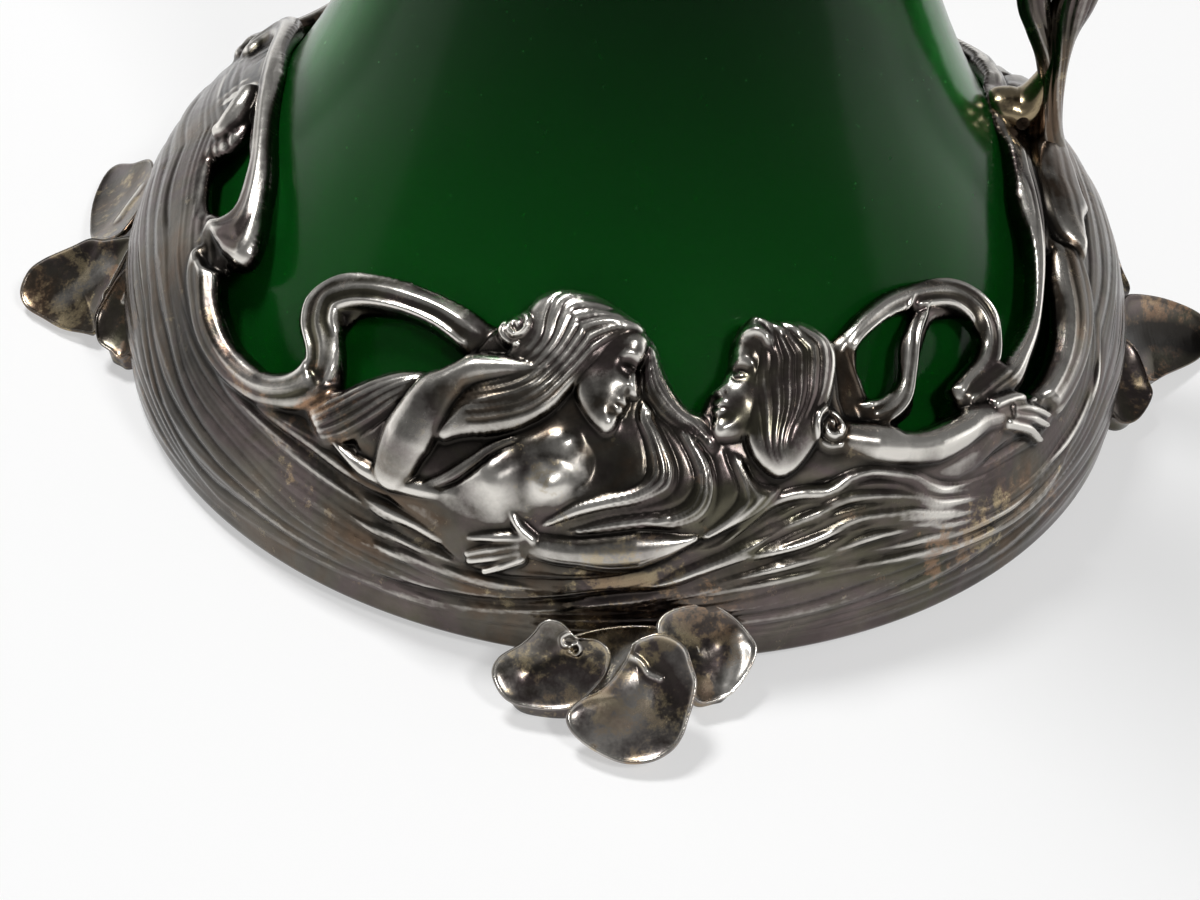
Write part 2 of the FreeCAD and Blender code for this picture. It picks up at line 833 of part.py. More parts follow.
def make_handle(core, glass, collar_block):
    stem = strand(handle_stations(
        STEM_SHARES, number["handle_width"], number["handle_thickness"],
    ), STEM_STEPS)
    stem = largest(stem.cut([core, collar_block]))
    keep("handle_stem", feature("handle_stem", stem))

    tendril = strand(handle_stations(
        TENDRIL_SHARES, number["tendril_width"], number["tendril_width"],
    ), STEM_STEPS)
    tendril = largest(tendril.cut([stem, core]))
    keep("handle_tendril", feature("handle_tendril", tendril))

    sheath = skin_ball(
        0, SHEATH_HEIGHT_SHARE, 0, number["sheath_width"] / 2,
        number["sheath_length"] / 2, number["sheath_relief"],
    )
    sheath = largest(sheath.cut([core, glass]).cut(stem))
    keep("handle_sheath", feature("handle_sheath", sheath))

    height = number["lug_height"]
    start = glass_radius(height) - number["lug_radius"]
    lug = Part.makeCylinder(
        number["lug_radius"], number["lug_reach"] - start,
        Vector(start, 0, height), Vector(1, 0, 0),
    )
    lug = largest(lug.cut([core, glass]).cut([stem, sheath, tendril]))
    pin_out = glass_radius(height) + number["lug_radius"]
    length = 2 * number["lug_radius"]
    bore = Part.makeCylinder(
        number["pin_radius"] + number["pin_clearance"], 2 * length,
        Vector(pin_out, -length, height), Vector(0, 1, 0),
    )
    keep("handle_lug", feature("handle_lug", lug.cut(bore)))
    pin = doc.addObject("Part::Cylinder", "handle_lower_pin")
    bind(pin, "Radius", size.pin_radius)
    bind(pin, "Height", size.lug_radius * 2)
    pin.Placement = Placement(
        Vector(pin_out, length / 2, height), Rotation(Vector(1, 0, 0), 90),
    )
    keep("handle_lower_pin", pin)


# Collar, spout and hinge

# Rings of the spout's cup and of the lid: (height share, growth share)
CUP_RING_SHARES = ((0.0, 0.0), (0.42, 0.3), (1.0, 1.0))
LID_RING_SHARES = ((0.0, 1.0), (0.1, 1.0), (0.35, 0.93), (0.65, 0.76), (0.88, 0.48), (1.0, 0.2))
LID_INSIDE_RINGS = 5
OVAL_POINTS = 12


def oval(reach, back, half_width, up):
    """A level oval about the axis, drawn out to reach on the spout's side."""
    points = []
    for step in range(OVAL_POINTS):
        angle = 2 * math.pi * step / OVAL_POINTS
        length = reach if math.cos(angle) < 0 else back
        points.append(Vector(length * math.cos(angle), half_width * math.sin(angle), up))
    return Part.Wire(smooth_edge(points, closed=True))


def cup_solid(inset, over):
    """The filled cup, its skin moved in by inset and run on past both ends by over."""
    low = number["cup_bottom"]
    rise = number["cup_top"] - low
    start = number["collar_outer"]
    sizes = (number["spout_reach"], number["cup_back"], number["cup_half_width"])
    rings = []
    for up_share, grow_share in CUP_RING_SHARES:
        across = [start + grow_share * (end - start) - inset for end in sizes]
        rings.append((across, low + up_share * rise))
    if over:
        rings = [(rings[0][0], low - over)] + rings + [(rings[-1][0], low + rise + over)]
    return Part.makeLoft([oval(*across, up) for across, up in rings], True, True)


def make_collar():
    low = size.collar_bottom
    high = size.cup_bottom
    bead = size.collar_bead
    inner = size.collar_inner
    outer = size.collar_outer
    keep("neck_collar", turned_body("neck_collar", [
        (inner, low), (outer, low), via(outer + bead, low + bead), (outer, low + bead * 2),
        (outer, high - bead * 2), via(outer + bead, high - bead), (outer, high), (inner, high),
    ]))
    thin = size.cement_clearance
    keep("collar_cement", turned_body("collar_cement", [
        (size.neck_radius + thin, low), (inner - thin, low),
        (inner - thin, size.glass_top), (size.neck_radius + thin, size.glass_top),
    ]))
    cup_outside = feature("cup_outside", cup_solid(0.0, 0.0))
    cup_inside = feature("cup_inside", cup_solid(number["cup_wall"], number["overrun"]))
    keep("spout_cup", boolean("Cut", "spout_cup", cup_outside, cup_inside))
    return cup_outside


def slot_pocket(body, out, up, radius, width):
    """A round gap for the middle knuckle, cut square across the body."""
    sketch = sketch_on(body, body.Name + "_gap", "XZ_Plane")
    add_circle(sketch, out, up, radius)
    pocket = body.newObject("PartDesign::Pocket", body.Name + "_gap_cut")
    pocket.Profile = sketch
    pocket.SideType = "Symmetric"
    bind(pocket, "Length", width)


def make_hinge(cup_outside):
    out = size.hinge_out
    up = size.hinge_height
    radius = size.knuckle_radius
    length = size.knuckle_length
    gap = size.knuckle_gap
    width = length * 3 + gap * 2
    bore = size.hinge_pin_radius + size.hinge_clearance
    inside = size.collar_inner
    low = size.cup_bottom + size.collar_bead * 3
    seat = size.cup_top - gap
    block = padded_body("hinge_block", [
        (inside, low), (size.cup_back, low), (out - radius / 2, up - radius * 3),
        (out + radius, up), via(out, up + radius), (out - radius, up),
        (out - radius * 1.4, seat), (inside, seat),
    ], width, [(out, up, bore)])
    slot_pocket(block, out, up, radius + gap, length + gap * 2)
    keep("hinge_bracket", boolean("Cut", "hinge_bracket", block, cup_outside))
    pin = doc.addObject("Part::Cylinder", "hinge_pin")
    bind(pin, "Radius", size.hinge_pin_radius)
    bind(pin, "Height", width)
    bind(pin, "Placement.Base.x", out)
    bind(pin, "Placement.Base.y", width / 2)
    bind(pin, "Placement.Base.z", up)
    pin.Placement.Rotation = Rotation(Vector(1, 0, 0), 90)
    keep("hinge_pin", pin)


# Lid


def lid_solid(inset, over, rings):
    low = number["cup_top"] + number["lid_seat_gap"]
    sizes = (number["spout_reach"], number["cup_back"], number["cup_half_width"])
    levels = []
    for up_share, scale_share in rings:
        across = [scale_share * (end + number["lid_rim"] / 2) - inset for end in sizes]
        levels.append((across, low + up_share * number["lid_rise"]))
    if over:
        levels.insert(0, (levels[0][0], low - over))
    return Part.makeLoft([oval(*across, up) for across, up in levels], True, True)


STRAP_SHARES = ((0.9, 0.95), (0.6, 1.03), (0.5, 0.6), (0.8, 0.15))
THUMB_SHARES = (
    (-0.3, 0.0), (0.15, 0.0), (0.2, 0.3), (0.32, 0.62), (0.5, 0.88), (0.45, 1.0),
    (0.3, 0.96), (0.12, 0.7), (-0.02, 0.35),
)


def make_lid():
    low = size.cup_top + size.lid_seat_gap
    rise = size.lid_rise
    top = low + rise
    stud = size.finial_stud_radius
    clear = size.hinge_clearance
    outside = feature("lid_outside", lid_solid(0.0, 0.0, LID_RING_SHARES))
    inside = lid_solid(
        number["lid_wall"], number["overrun"], LID_RING_SHARES[:LID_INSIDE_RINGS],
    )
    hole = Part.makeCylinder(
        float(stud + clear), number["lid_rise"] + 2 * number["overrun"], Vector(0, 0, float(low)),
    )
    hollow = feature("lid_inside", inside.fuse(hole))
    keep("lid_shell", boolean("Cut", "lid_shell", outside, hollow))

    out = size.hinge_out
    up = size.hinge_height
    radius = size.knuckle_radius
    strap = [
        (size.cup_back * out_share, low + rise * up_share) for out_share, up_share in STRAP_SHARES
    ]
    corner = radius * math.sqrt(0.5)
    arm = padded_body("arm_block", [
        (out - radius, up), via(out, up - radius), (out + radius, up),
        via(out + corner, up + corner), (out, up + radius), *strap,
    ], size.knuckle_length, [(out, up, size.hinge_pin_radius + clear)])
    arm = keep("lid_hinge_arm", boolean("Cut", "lid_hinge_arm", arm, outside))

    tall = size.thumb_height
    foot = up + radius + size.thumb_thickness / 4
    points = [(out + tall * along, foot + tall * high) for along, high in THUMB_SHARES]
    thumb = padded_body("thumb_block", points, size.thumb_width)
    keep("thumbpiece", boolean("Cut", "thumbpiece", thumb, arm))

    tall = size.finial_height
    bud = size.finial_radius
    ceiling = low + rise * LID_RING_SHARES[LID_INSIDE_RINGS - 1][0]
    below = ceiling - size.nut_height
    keep("finial", turned_body("finial", [
        (0, below), (stud, below), (stud, top), (bud * 0.65, top),
        (bud * 0.65, top + tall * 0.06), via(bud * 0.35, top + tall * 0.15),
        (bud * 0.6, top + tall * 0.24), via(bud, top + tall * 0.5),
        (bud * 0.3, top + tall * 0.82), (bud * 0.42, top + tall * 0.88),
        (bud * 0.28, top + tall * 0.96), (0, top + tall),
    ]))
    keep("finial_nut", turned_body("finial_nut", [
        (stud + clear, below), (size.nut_radius, below),
        (size.nut_radius, ceiling), (stud + clear, ceiling),
    ]))


make_glass()
core_item, band = make_band()
core = core_item.Shape
glass = glass_cutter()
make_bottom()
make_feet()
collar_block = Part.makeCylinder(
    number["collar_outer"], number["cup_bottom"] - number["collar_bottom"],
    Vector(0, 0, number["collar_bottom"]),
)
make_handle(core, glass, collar_block)
maidens = {side: make_maiden(side, pose, core, glass) for side, pose in MAIDENS.items()}
for kind, runs in RIBBONS.items():
    width = number["strap_width"] if kind == "strap_handle" else number["ribbon_width"]
    maiden = maidens[kind.split("_")[1]]
    keep_front_and_back(kind + "_{}", make_ribbon(runs, width, [core, maiden]))
curl = make_ribbon((SPOUT_CURL,), number["ribbon_width"], [core])
keep("ribbon_spout_side", feature("ribbon_spout_side", curl))
make_hinge(make_collar())
make_lid()
doc.recompute()

faults = [item.Name for item in doc.Objects if {"Invalid", "Error"} & set(item.State)]
for name, item in subparts.items():
    shape = item.Shape
    if shape.isNull() or not shape.isValid() or not shape.Solids:
        faults.append(name)
if faults:
    raise SystemExit("these did not build: " + ", ".join(faults))
os.makedirs("parts", exist_ok=True)
for name, item in subparts.items():
    item.Shape.exportStep(f"parts/{name}.step")
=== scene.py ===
import json
import math

import bmesh
import bpy
import numpy as np
from mathutils import Matrix, Vector


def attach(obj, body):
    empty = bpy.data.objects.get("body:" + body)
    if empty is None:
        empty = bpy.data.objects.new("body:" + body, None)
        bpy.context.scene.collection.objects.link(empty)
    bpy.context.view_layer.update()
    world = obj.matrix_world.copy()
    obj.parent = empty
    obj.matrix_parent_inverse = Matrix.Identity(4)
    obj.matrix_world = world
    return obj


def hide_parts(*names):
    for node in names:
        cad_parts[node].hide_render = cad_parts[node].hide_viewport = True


# The cast mount, the leaf feet and the handle's foot are sculpted round the packed
# frame. Work is in millimetres until a mesh is written, in metres.

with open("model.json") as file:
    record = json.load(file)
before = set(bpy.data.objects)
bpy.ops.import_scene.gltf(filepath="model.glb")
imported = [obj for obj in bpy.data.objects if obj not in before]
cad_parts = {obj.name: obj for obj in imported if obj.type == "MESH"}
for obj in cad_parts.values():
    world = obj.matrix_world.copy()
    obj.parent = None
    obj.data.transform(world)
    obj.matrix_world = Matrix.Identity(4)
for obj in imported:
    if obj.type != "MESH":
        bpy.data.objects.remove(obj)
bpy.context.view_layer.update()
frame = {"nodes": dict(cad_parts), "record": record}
MM = 0.001

# Camera

IMAGE_WIDTH, IMAGE_HEIGHT = 1200, 900
LENS, SENSOR = 66.0, 36.0
CAMERA_DISTANCE = 361.0
CAMERA_ELEVATION = 39.18
CAMERA_ROLL = 3.73
CAMERA_TURN = -3.43
CAMERA_TARGET = (-2.69, -34.4, 0.0)


def turned_about_z(angle):
    """The matrix that turns a point about the upright axis."""
    return np.array([
        [math.cos(angle), -math.sin(angle), 0], [math.sin(angle), math.cos(angle), 0], [0, 0, 1],
    ])


def camera_frame():
    """The camera's place and its right, up and forward directions."""
    rise, roll, turn = (
        math.radians(angle) for angle in (CAMERA_ELEVATION, CAMERA_ROLL, CAMERA_TURN)
    )
    forward = np.array([0, math.cos(rise), -math.sin(rise)])
    place = np.array(CAMERA_TARGET) - forward * CAMERA_DISTANCE
    level = np.array([1.0, 0, 0])
    up = np.cross(level, forward)
    right = math.cos(roll) * level + math.sin(roll) * up
    above = -math.sin(roll) * level + math.cos(roll) * up
    about = turned_about_z(turn)
    return [about @ vector for vector in (place, right, above, forward)]


EYE, RIGHT, ABOVE, FORWARD = camera_frame()
FOCAL = LENS / SENSOR * IMAGE_WIDTH


def make_camera():
    data = bpy.data.cameras.new("camera")
    data.lens = LENS
    data.sensor_width = SENSOR
    data.clip_start = 0.01
    camera = bpy.data.objects.new("camera", data)
    bpy.context.scene.collection.objects.link(camera)
    turn = Matrix([RIGHT, ABOVE, -FORWARD]).transposed().to_4x4()
    camera.matrix_world = Matrix.Translation(Vector(EYE * MM)) @ turn
    bpy.context.scene.camera = camera


def rays(pixels):
    """Directions from the eye through pixels of the picture."""
    across = (np.asarray(pixels, float)[:, :1] - IMAGE_WIDTH / 2) / FOCAL
    down = (np.asarray(pixels, float)[:, 1:] - IMAGE_HEIGHT / 2) / FOCAL
    return FORWARD + across * RIGHT - down * ABOVE


# Meridians of the glass and of the mount

BELLY_RADIUS, NECK_RADIUS = 77.5, 18.5
BELLY_HEIGHT, NECK_HEIGHT = 14.0, 225.0
GLASS_SHARES = (
    (1.0, 0.0), (0.961, 0.038), (0.876, 0.076), (0.771, 0.114), (0.697, 0.142),
    (0.585, 0.19), (0.48, 0.246), (0.375, 0.313), (0.2525, 0.408), (0.144, 0.526),
    (0.0644, 0.668), (0.017, 0.834), (0.0, 1.0),
)
GLASS_FOOT = ((66.0, 4.0), (74.0, 8.0))
BAND_RADIUS = 85.0
BAND_BOTTOM = 1.5
SHOULDER = ((85.0, 13.4), (78.9, 30.0), (60.2, 48.0))
EDGE_ROUND = 1.4
MOUNT_TOP = 68.0
# The mount's skin closes on the glass by a share of the gap between these heights
CLOSING = (28.0, 46.0)
CLOSING_SHARE = 0.5
LEAST_GAP = 2.0
METAL_THICKNESS = 2.2
GLASS_CLEARANCE = 0.35


def smooth_line(points, finer=8, closed=False):
    """A smooth curve through points, finer times as many."""
    points = np.asarray(points, float)
    count = len(points)
    if closed:
        ring = np.vstack([points[-1:], points, points[:2]])
    else:
        ring = np.vstack([2 * points[0] - points[1], points, 2 * points[-1] - points[-2]])
    lines = []
    for index in range(count if closed else count - 1):
        before, one, two, after = ring[index:index + 4]
        for share in np.arange(finer) / finer:
            lines.append(0.5 * (
                2 * one + (two - before) * share
                + (2 * before - 5 * one + 4 * two - after) * share ** 2
                + (3 * one - before - 3 * two + after) * share ** 3
            ))
    if not closed:
        lines.append(points[-1])
    return np.array(lines)


def glass_points():
    flare, rise = BELLY_RADIUS - NECK_RADIUS, NECK_HEIGHT - BELLY_HEIGHT
    curve = [(NECK_RADIUS + out * flare, BELLY_HEIGHT + up * rise) for out, up in GLASS_SHARES]
    return smooth_line(list(GLASS_FOOT) + curve)


GLASS_CURVE = glass_points()


def glass_radius(height):
    return np.interp(height, GLASS_CURVE[:, 1], GLASS_CURVE[:, 0])


def ease(amount):
    amount = np.clip(amount, 0, 1)
    return amount * amount * (3 - 2 * amount)


def shoulder_circle():
    """Centre and radius of the circle through the shoulder's three points."""
    (ax, ay), (bx, by), (cx, cy) = SHOULDER
    rows = np.array([[2 * (bx - ax), 2 * (by - ay)], [2 * (cx - ax), 2 * (cy - ay)]])
    sums = np.array([bx ** 2 + by ** 2 - ax ** 2 - ay ** 2, cx ** 2 + cy ** 2 - ax ** 2 - ay ** 2])
    centre = np.linalg.solve(rows, sums)
    return centre, math.hypot(ax - centre[0], ay - centre[1])


def mount_radius(height):
    """Outside of the mount before its relief, by height."""
    centre, radius = shoulder_circle()
    rise = np.clip(radius ** 2 - (height - centre[1]) ** 2, 0, None)
    skin = np.where(height <= SHOULDER[0][1], BAND_RADIUS, centre[0] + np.sqrt(rise))
    glass = glass_radius(height)
    gap = np.maximum(skin - glass, LEAST_GAP)
    low, high = CLOSING
    out = glass + gap * (1 - CLOSING_SHARE * ease((height - low) / (high - low)))
    worn = np.clip(1 - (height - BAND_BOTTOM) / EDGE_ROUND, 0, 1)
    return out - EDGE_ROUND * (1 - np.sqrt(1 - worn ** 2))


class Meridian:
    """The mount's outline in the radial plane, by its length from the bottom edge."""

    FINE = 0.04

    def __init__(self):
        height = np.arange(BAND_BOTTOM, MOUNT_TOP, self.FINE)
        out = mount_radius(height)
        steps = np.hypot(np.diff(out), np.diff(height))
        self.length = np.concatenate([[0], np.cumsum(steps)])
        self.height, self.out = height, out
        slope_out, slope_up = np.gradient(out, self.length), np.gradient(height, self.length)
        width = np.hypot(slope_out, slope_up)
        self.face_out, self.face_up = slope_up / width, -slope_out / width

    def read(self, values, length):
        return np.interp(length, self.length, values)

    def at_height(self, height):
        return np.interp(height, self.height, self.length)


MERIDIAN = Meridian()


# Where along a ray the mount is looked for, as shares of the camera's distance
SEARCH_FROM, SEARCH_TO, SEARCH_STEPS = 0.6, 1.5, 1801


def on_mount(pixels, lift=0.0):
    """Azimuth in degrees and length up the mount of what the pixels show."""
    away = rays(pixels)
    steps = np.linspace(SEARCH_FROM, SEARCH_TO, SEARCH_STEPS) * CAMERA_DISTANCE
    spots = EYE + away[:, None, :] * steps[None, :, None]
    height = spots[..., 2]
    reach = np.hypot(spots[..., 0], spots[..., 1])
    over = reach - mount_radius(height) - lift
    over = np.where((height > BAND_BOTTOM) & (height < MOUNT_TOP), over, np.abs(over) + 1)
    inside = over <= 0
    first = np.where(inside.any(1), inside.argmax(1), np.abs(over).argmin(1))
    rows = np.arange(len(spots))
    before = np.maximum(first - 1, 0)
    share = np.clip(over[rows, before] / (over[rows, before] - over[rows, first] + 1e-9), 0, 1)
    spot = spots[rows, before] + (spots[rows, first] - spots[rows, before]) * share[:, None]
    azimuth = np.degrees(np.arctan2(spot[:, 1], spot[:, 0]))
    azimuth = np.where(azimuth > 90, azimuth - 360, azimuth)
    return np.column_stack([azimuth, MERIDIAN.at_height(spot[:, 2])])


# The relief's sheet: the front half of the mount, spread out by azimuth and length,
# with its columns closest together over the maidens

CLOSE_RANGE = (-126.0, -36.0)
CLOSE_STEP, WIDE_STEP, BACK_STEP = 0.13, 0.25, 0.45
LENGTH_STEP = 0.25


def even(low, high, step):
    return np.linspace(low, high, int((high - low) / step) + 1)


class Relief:
    """Fields over the sheet: how far the relief rises, how far the sheet's edge is, how golden
    the plate is, and the painted highlights and painted shade laid on it."""

    def __init__(self):
        low, high = CLOSE_RANGE
        self.azimuth = np.concatenate([
            even(-180, low, WIDE_STEP), even(low, high, CLOSE_STEP)[1:],
            even(high, 0, WIDE_STEP)[1:],
        ])
        self.length = np.arange(0, MERIDIAN.length[-1], LENGTH_STEP)
        self.radius = MERIDIAN.read(MERIDIAN.out, self.length)
        shape = (len(self.length), len(self.azimuth))
        self.rise = np.zeros(shape)
        self.cover = np.zeros(shape)
        self.gilt = np.zeros(shape)
        self.tone_shift = np.zeros(shape)

    def window(self, low, high, reach):
        """Rows and columns within reach of a box of azimuths and lengths."""
        side = np.degrees(reach / self.radius.min())
        columns = slice(*np.searchsorted(self.azimuth, (low[0] - side, high[0] + side)))
        rows = slice(*np.searchsorted(self.length, (low[1] - reach, high[1] + reach)))
        return rows, columns

    def near(self, line, reach, window=None):
        """Distance to a line and share along it, within reach of the line."""
        rows, columns = window or self.window(line.min(0), line.max(0), reach)
        shape = (rows.stop - rows.start, columns.stop - columns.start)
        nearest = np.full(shape, np.inf)
        share = np.zeros(shape)
        middle = MERIDIAN.read(MERIDIAN.out, line[:-1, 1])
        runs = np.hypot(np.radians(np.diff(line[:, 0])) * middle, np.diff(line[:, 1]))
        ends = np.concatenate([[0], np.cumsum(runs)])
        for index, (one, two) in enumerate(zip(line, line[1:])):
            close = self.window(np.minimum(one, two), np.maximum(one, two), reach)
            spot = tuple(
                slice(max(part.start, whole.start), min(part.stop, whole.stop))
                for part, whole in zip(close, (rows, columns))
            )
            if any(part.stop <= part.start for part in spot):
                continue
            inner = tuple(
                slice(part.start - whole.start, part.stop - whole.start)
                for part, whole in zip(spot, (rows, columns))
            )
            around = self.radius[spot[0], None]
            over = np.radians(self.azimuth[None, spot[1]] - one[0]) * around
            up = self.length[spot[0], None] - one[1]
            run, climb = np.radians(two[0] - one[0]) * around, two[1] - one[1]
            along = np.clip(
                (over * run + up * climb) / (run * run + climb * climb + 1e-12), 0, 1,
            )
            away = np.hypot(over - along * run, up - along * climb)
            better = away < nearest[inner]
            nearest[inner] = np.where(better, away, nearest[inner])
            part = (ends[index] + along * runs[index]) / (ends[-1] + 1e-9)
            share[inner] = np.where(better, part, share[inner])
        return (rows, columns), nearest, share

    def within(self, outline, reach):
        """Distance to a closed outline, positive inside it."""
        ring = np.vstack([outline, outline[:1]])
        spot, nearest, _ = self.near(ring, reach)
        rows, columns = spot
        azimuth = np.broadcast_to(self.azimuth[None, columns], nearest.shape)
        length = np.broadcast_to(self.length[rows, None], nearest.shape)
        inside = np.zeros(nearest.shape, bool)
        for one, two in zip(ring, ring[1:]):
            if one[1] == two[1]:
                continue
            crossed = (one[1] > length) != (two[1] > length)
            meet = one[0] + (length - one[1]) * (two[0] - one[0]) / (two[1] - one[1])
            inside ^= crossed & (azimuth < meet)
        return spot, np.where(inside, nearest, -nearest)


RELIEF = Relief()


# How far over the mount's skin the outlined forms are taken to lie
LOW, MIDDLE, HIGH, TOP = 1.0, 1.5, 2.0, 3.0
LINE_FINER, AREA_FINER = 6, 4


def trace(pixels, lift=0.0):
    """Pixels to a smooth line on the mount."""
    return smooth_line(on_mount(pixels, lift), LINE_FINER)


def area(pixels, lift=0.0):
    """Pixels to a smooth closed outline on the mount."""
    return smooth_line(on_mount(pixels, lift), AREA_FINER, True)


SWELL_LENGTH = 0.3


def swell(share, ends):
    """1 along a line, falling to the two given shares at its ends."""
    first, last = ends
    start = first + (1 - first) * ease(share / SWELL_LENGTH)
    stop = last + (1 - last) * ease((1 - share) / SWELL_LENGTH)
    return np.minimum(start, stop)


def ridge(line, width, height, ends=(0.2, 0.2), sharp=1.0):
    """Adds a rounded ridge, or a groove where height is below zero."""
    spot, away, share = RELIEF.near(line, width)
    size = swell(share, ends)
    bump = np.clip(1 - (away / (width * size + 1e-6)) ** 2, 0, None) ** sharp
    RELIEF.rise[spot] += height * size * bump


def body(line, widths, heights, level=0.0, full=0.5):
    """Raises a rounded limb over the relief. Widths are half widths at even shares."""
    widths, heights = np.asarray(widths, float), np.asarray(heights, float)
    spot, away, share = RELIEF.near(line, widths.max())
    width = np.interp(share, np.linspace(0, 1, len(widths)), widths)
    height = np.interp(share, np.linspace(0, 1, len(heights)), heights)
    rounded = np.clip(1 - (away / width) ** 2, 0, None) ** full
    there = away < width
    lifted = np.maximum(RELIEF.rise[spot], level + height * rounded)
    RELIEF.rise[spot] = np.where(there, lifted, RELIEF.rise[spot])


def mound(outline, height, edge, level=0.0, full=0.5):
    """Raises an area to a height that it reaches at edge within its outline."""
    spot, depth = RELIEF.within(outline, edge + 1)
    share = np.clip(depth / edge, 0, 1)
    rounded = np.clip(1 - (1 - share) ** 2, 0, None) ** full
    now = RELIEF.rise[spot]
    RELIEF.rise[spot] = np.where(depth > 0, np.maximum(now, level + height * rounded), now)


def round_spot(pixel, radius, lift):
    """The window round a pixel, and 1 at it falling to 0 at the radius."""
    spot = on_mount([pixel], lift)
    window, away, _ = RELIEF.near(np.vstack([spot, spot + 0.01]), radius)
    return window, ease(1 - away / radius)


def dome(pixel, radius, height, lift=MIDDLE):
    """Adds a smooth swelling."""
    window, share = round_spot(pixel, radius, lift)
    RELIEF.rise[window] += height * share


SHEAF_REACH = 14.0


def between(one, two, lift):
    """The area between two guide lines: its window, the share from the first line to
    the second, the share along them and the distance within the area."""
    first, last = trace(one, lift), trace(two, lift)
    window, depth = RELIEF.within(np.vstack([first, last[::-1]]), SHEAF_REACH)
    _, from_first, along = RELIEF.near(first, SHEAF_REACH, window)
    _, from_last, _ = RELIEF.near(last, SHEAF_REACH, window)
    with np.errstate(invalid="ignore"):
        across = from_first / (from_first + from_last + 1e-6)
    return window, np.where(np.isfinite(across), across, 0.5), along, depth


# Share of the fine lines in a strand, how many there are and how they waver
FINE_SHARE, FINE_LINES, FINE_WAVER = 0.22, 3, (0.6, 2.1)
STRAND_ROUND = 0.7


def strand_waves(phase):
    """Rounded strands with creases between them, one to each whole phase, and fine
    lines along them; between 0 and about 1."""
    size, rate = FINE_WAVER
    broad = np.abs(np.sin(math.pi * phase)) ** STRAND_ROUND
    fine = np.abs(np.sin(FINE_LINES * math.pi * phase + size * np.sin(rate * phase)))
    return (1 - FINE_SHARE) * broad + FINE_SHARE * fine


def fading_ends(along, share):
    """0 at both ends of a line, and 1 from a share of its length on."""
    return ease(along / share) * ease((1 - along) / share)


# Shares of the length over which forms fade out at their ends
SHEAF_FADE, ENGRAVED_FADE, RIBBON_FADE = 0.08, 0.1, 0.12
# What shows of the relief under a sheaf, as a share of the sheaf's height
SHEAF_UNDER = 0.6
# The level of a strand that lies at a sheaf's height, and at the skin when engraved
STRAND_MIDDLE, ENGRAVED_TOP = 0.6, 0.75
# Millimetres from its edge to where the engraving is full, and its waver along and across
ENGRAVED_EDGE, ENGRAVED_WAVER = 1.2, (6, 3)


def sheaf(one, two, count, height, depth, lift=MIDDLE):
    """A sheaf of strands between two guide lines, raised over the relief to a rounded
    height, with creases of the given depth."""
    window, across, along, inside = between(one, two, lift)
    round_up = np.sqrt(np.clip(4 * across * (1 - across), 0, 1))
    top = height * round_up + depth * (strand_waves(count * across) - STRAND_MIDDLE)
    now = RELIEF.rise[window]
    hold = np.where(inside > 0, fading_ends(along, SHEAF_FADE), 0)
    under = np.minimum(now, height * SHEAF_UNDER)
    RELIEF.rise[window] = now + hold * (np.maximum(top, under) - now)


def engrave(one, two, count, depth, spread):
    """Creases between strands that run between two guide lines, cut into what is there."""
    window, across, along, inside = between(one, two, HIGH)
    ends = fading_ends(along, ENGRAVED_FADE) * ease(inside / ENGRAVED_EDGE)
    by_along, by_across = ENGRAVED_WAVER
    waver = spread * np.sin(by_along * along + by_across * across)
    strands = strand_waves(count * across + waver) - ENGRAVED_TOP
    RELIEF.rise[window] += np.where(inside > 0, ends * depth * strands, 0)


# Outlines in the picture's pixels. Beyond the picture they go on as (azimuth, height).

LEFT_RIBBON_EDGE = (
    (273, 111), (270, 139), (269, 172), (265, 200), (260, 231), (253, 253), (244, 264),
    (233, 268), (223, 266),
)
LEFT_HOLLOW = (
    (219, 276), (219, 300), (223, 319), (232, 342), (246, 358), (262, 371), (279, 372),
    (293, 367), (300, 353), (300, 342), (295, 328),
)
LEFT_LOOP_TOP = (
    (295, 314), (301, 300), (312, 289), (329, 278), (348, 272), (376, 274), (407, 281),
    (440, 294), (468, 308), (495, 325), (512, 322),
)
LEFT_HEAD_TOP = (
    (530, 311), (540, 300), (557, 294), (577, 294), (602, 301), (627, 317), (649, 335),
)
VALLEY = ((657, 346), (668, 377), (682, 402), (695, 411), (702, 411))
RIGHT_HEAD_TOP = (
    (708, 396), (722, 384), (731, 362), (734, 342), (747, 321), (765, 325), (793, 325),
    (812, 332), (829, 345),
)
RIGHT_LOOP_TOP = (
    (846, 329), (862, 311), (884, 293), (907, 284), (932, 278), (954, 278), (973, 285),
    (990, 299), (1000, 316), (1002, 338), (1004, 362),
)
RIGHT_STRAP_TOP = (
    (1013, 351), (1030, 319), (1034, 278), (1030, 236), (1022, 211), (1017, 192),
)
TOP_EDGES = (
    LEFT_RIBBON_EDGE, LEFT_HOLLOW, LEFT_LOOP_TOP, LEFT_HEAD_TOP, VALLEY, RIGHT_HEAD_TOP,
    RIGHT_LOOP_TOP, RIGHT_STRAP_TOP,
)
HOLE_REACH, COVER_REACH, PAST_SHEET = 6.0, 80.0, 40.0
SPOUT_SIDE_END = ((-180.0, 48.6), (-175.0, 48.2))
HANDLE_SIDE_END = ((-11.0, 46.8), (-5.0, 48.2), (0.0, 48.6))

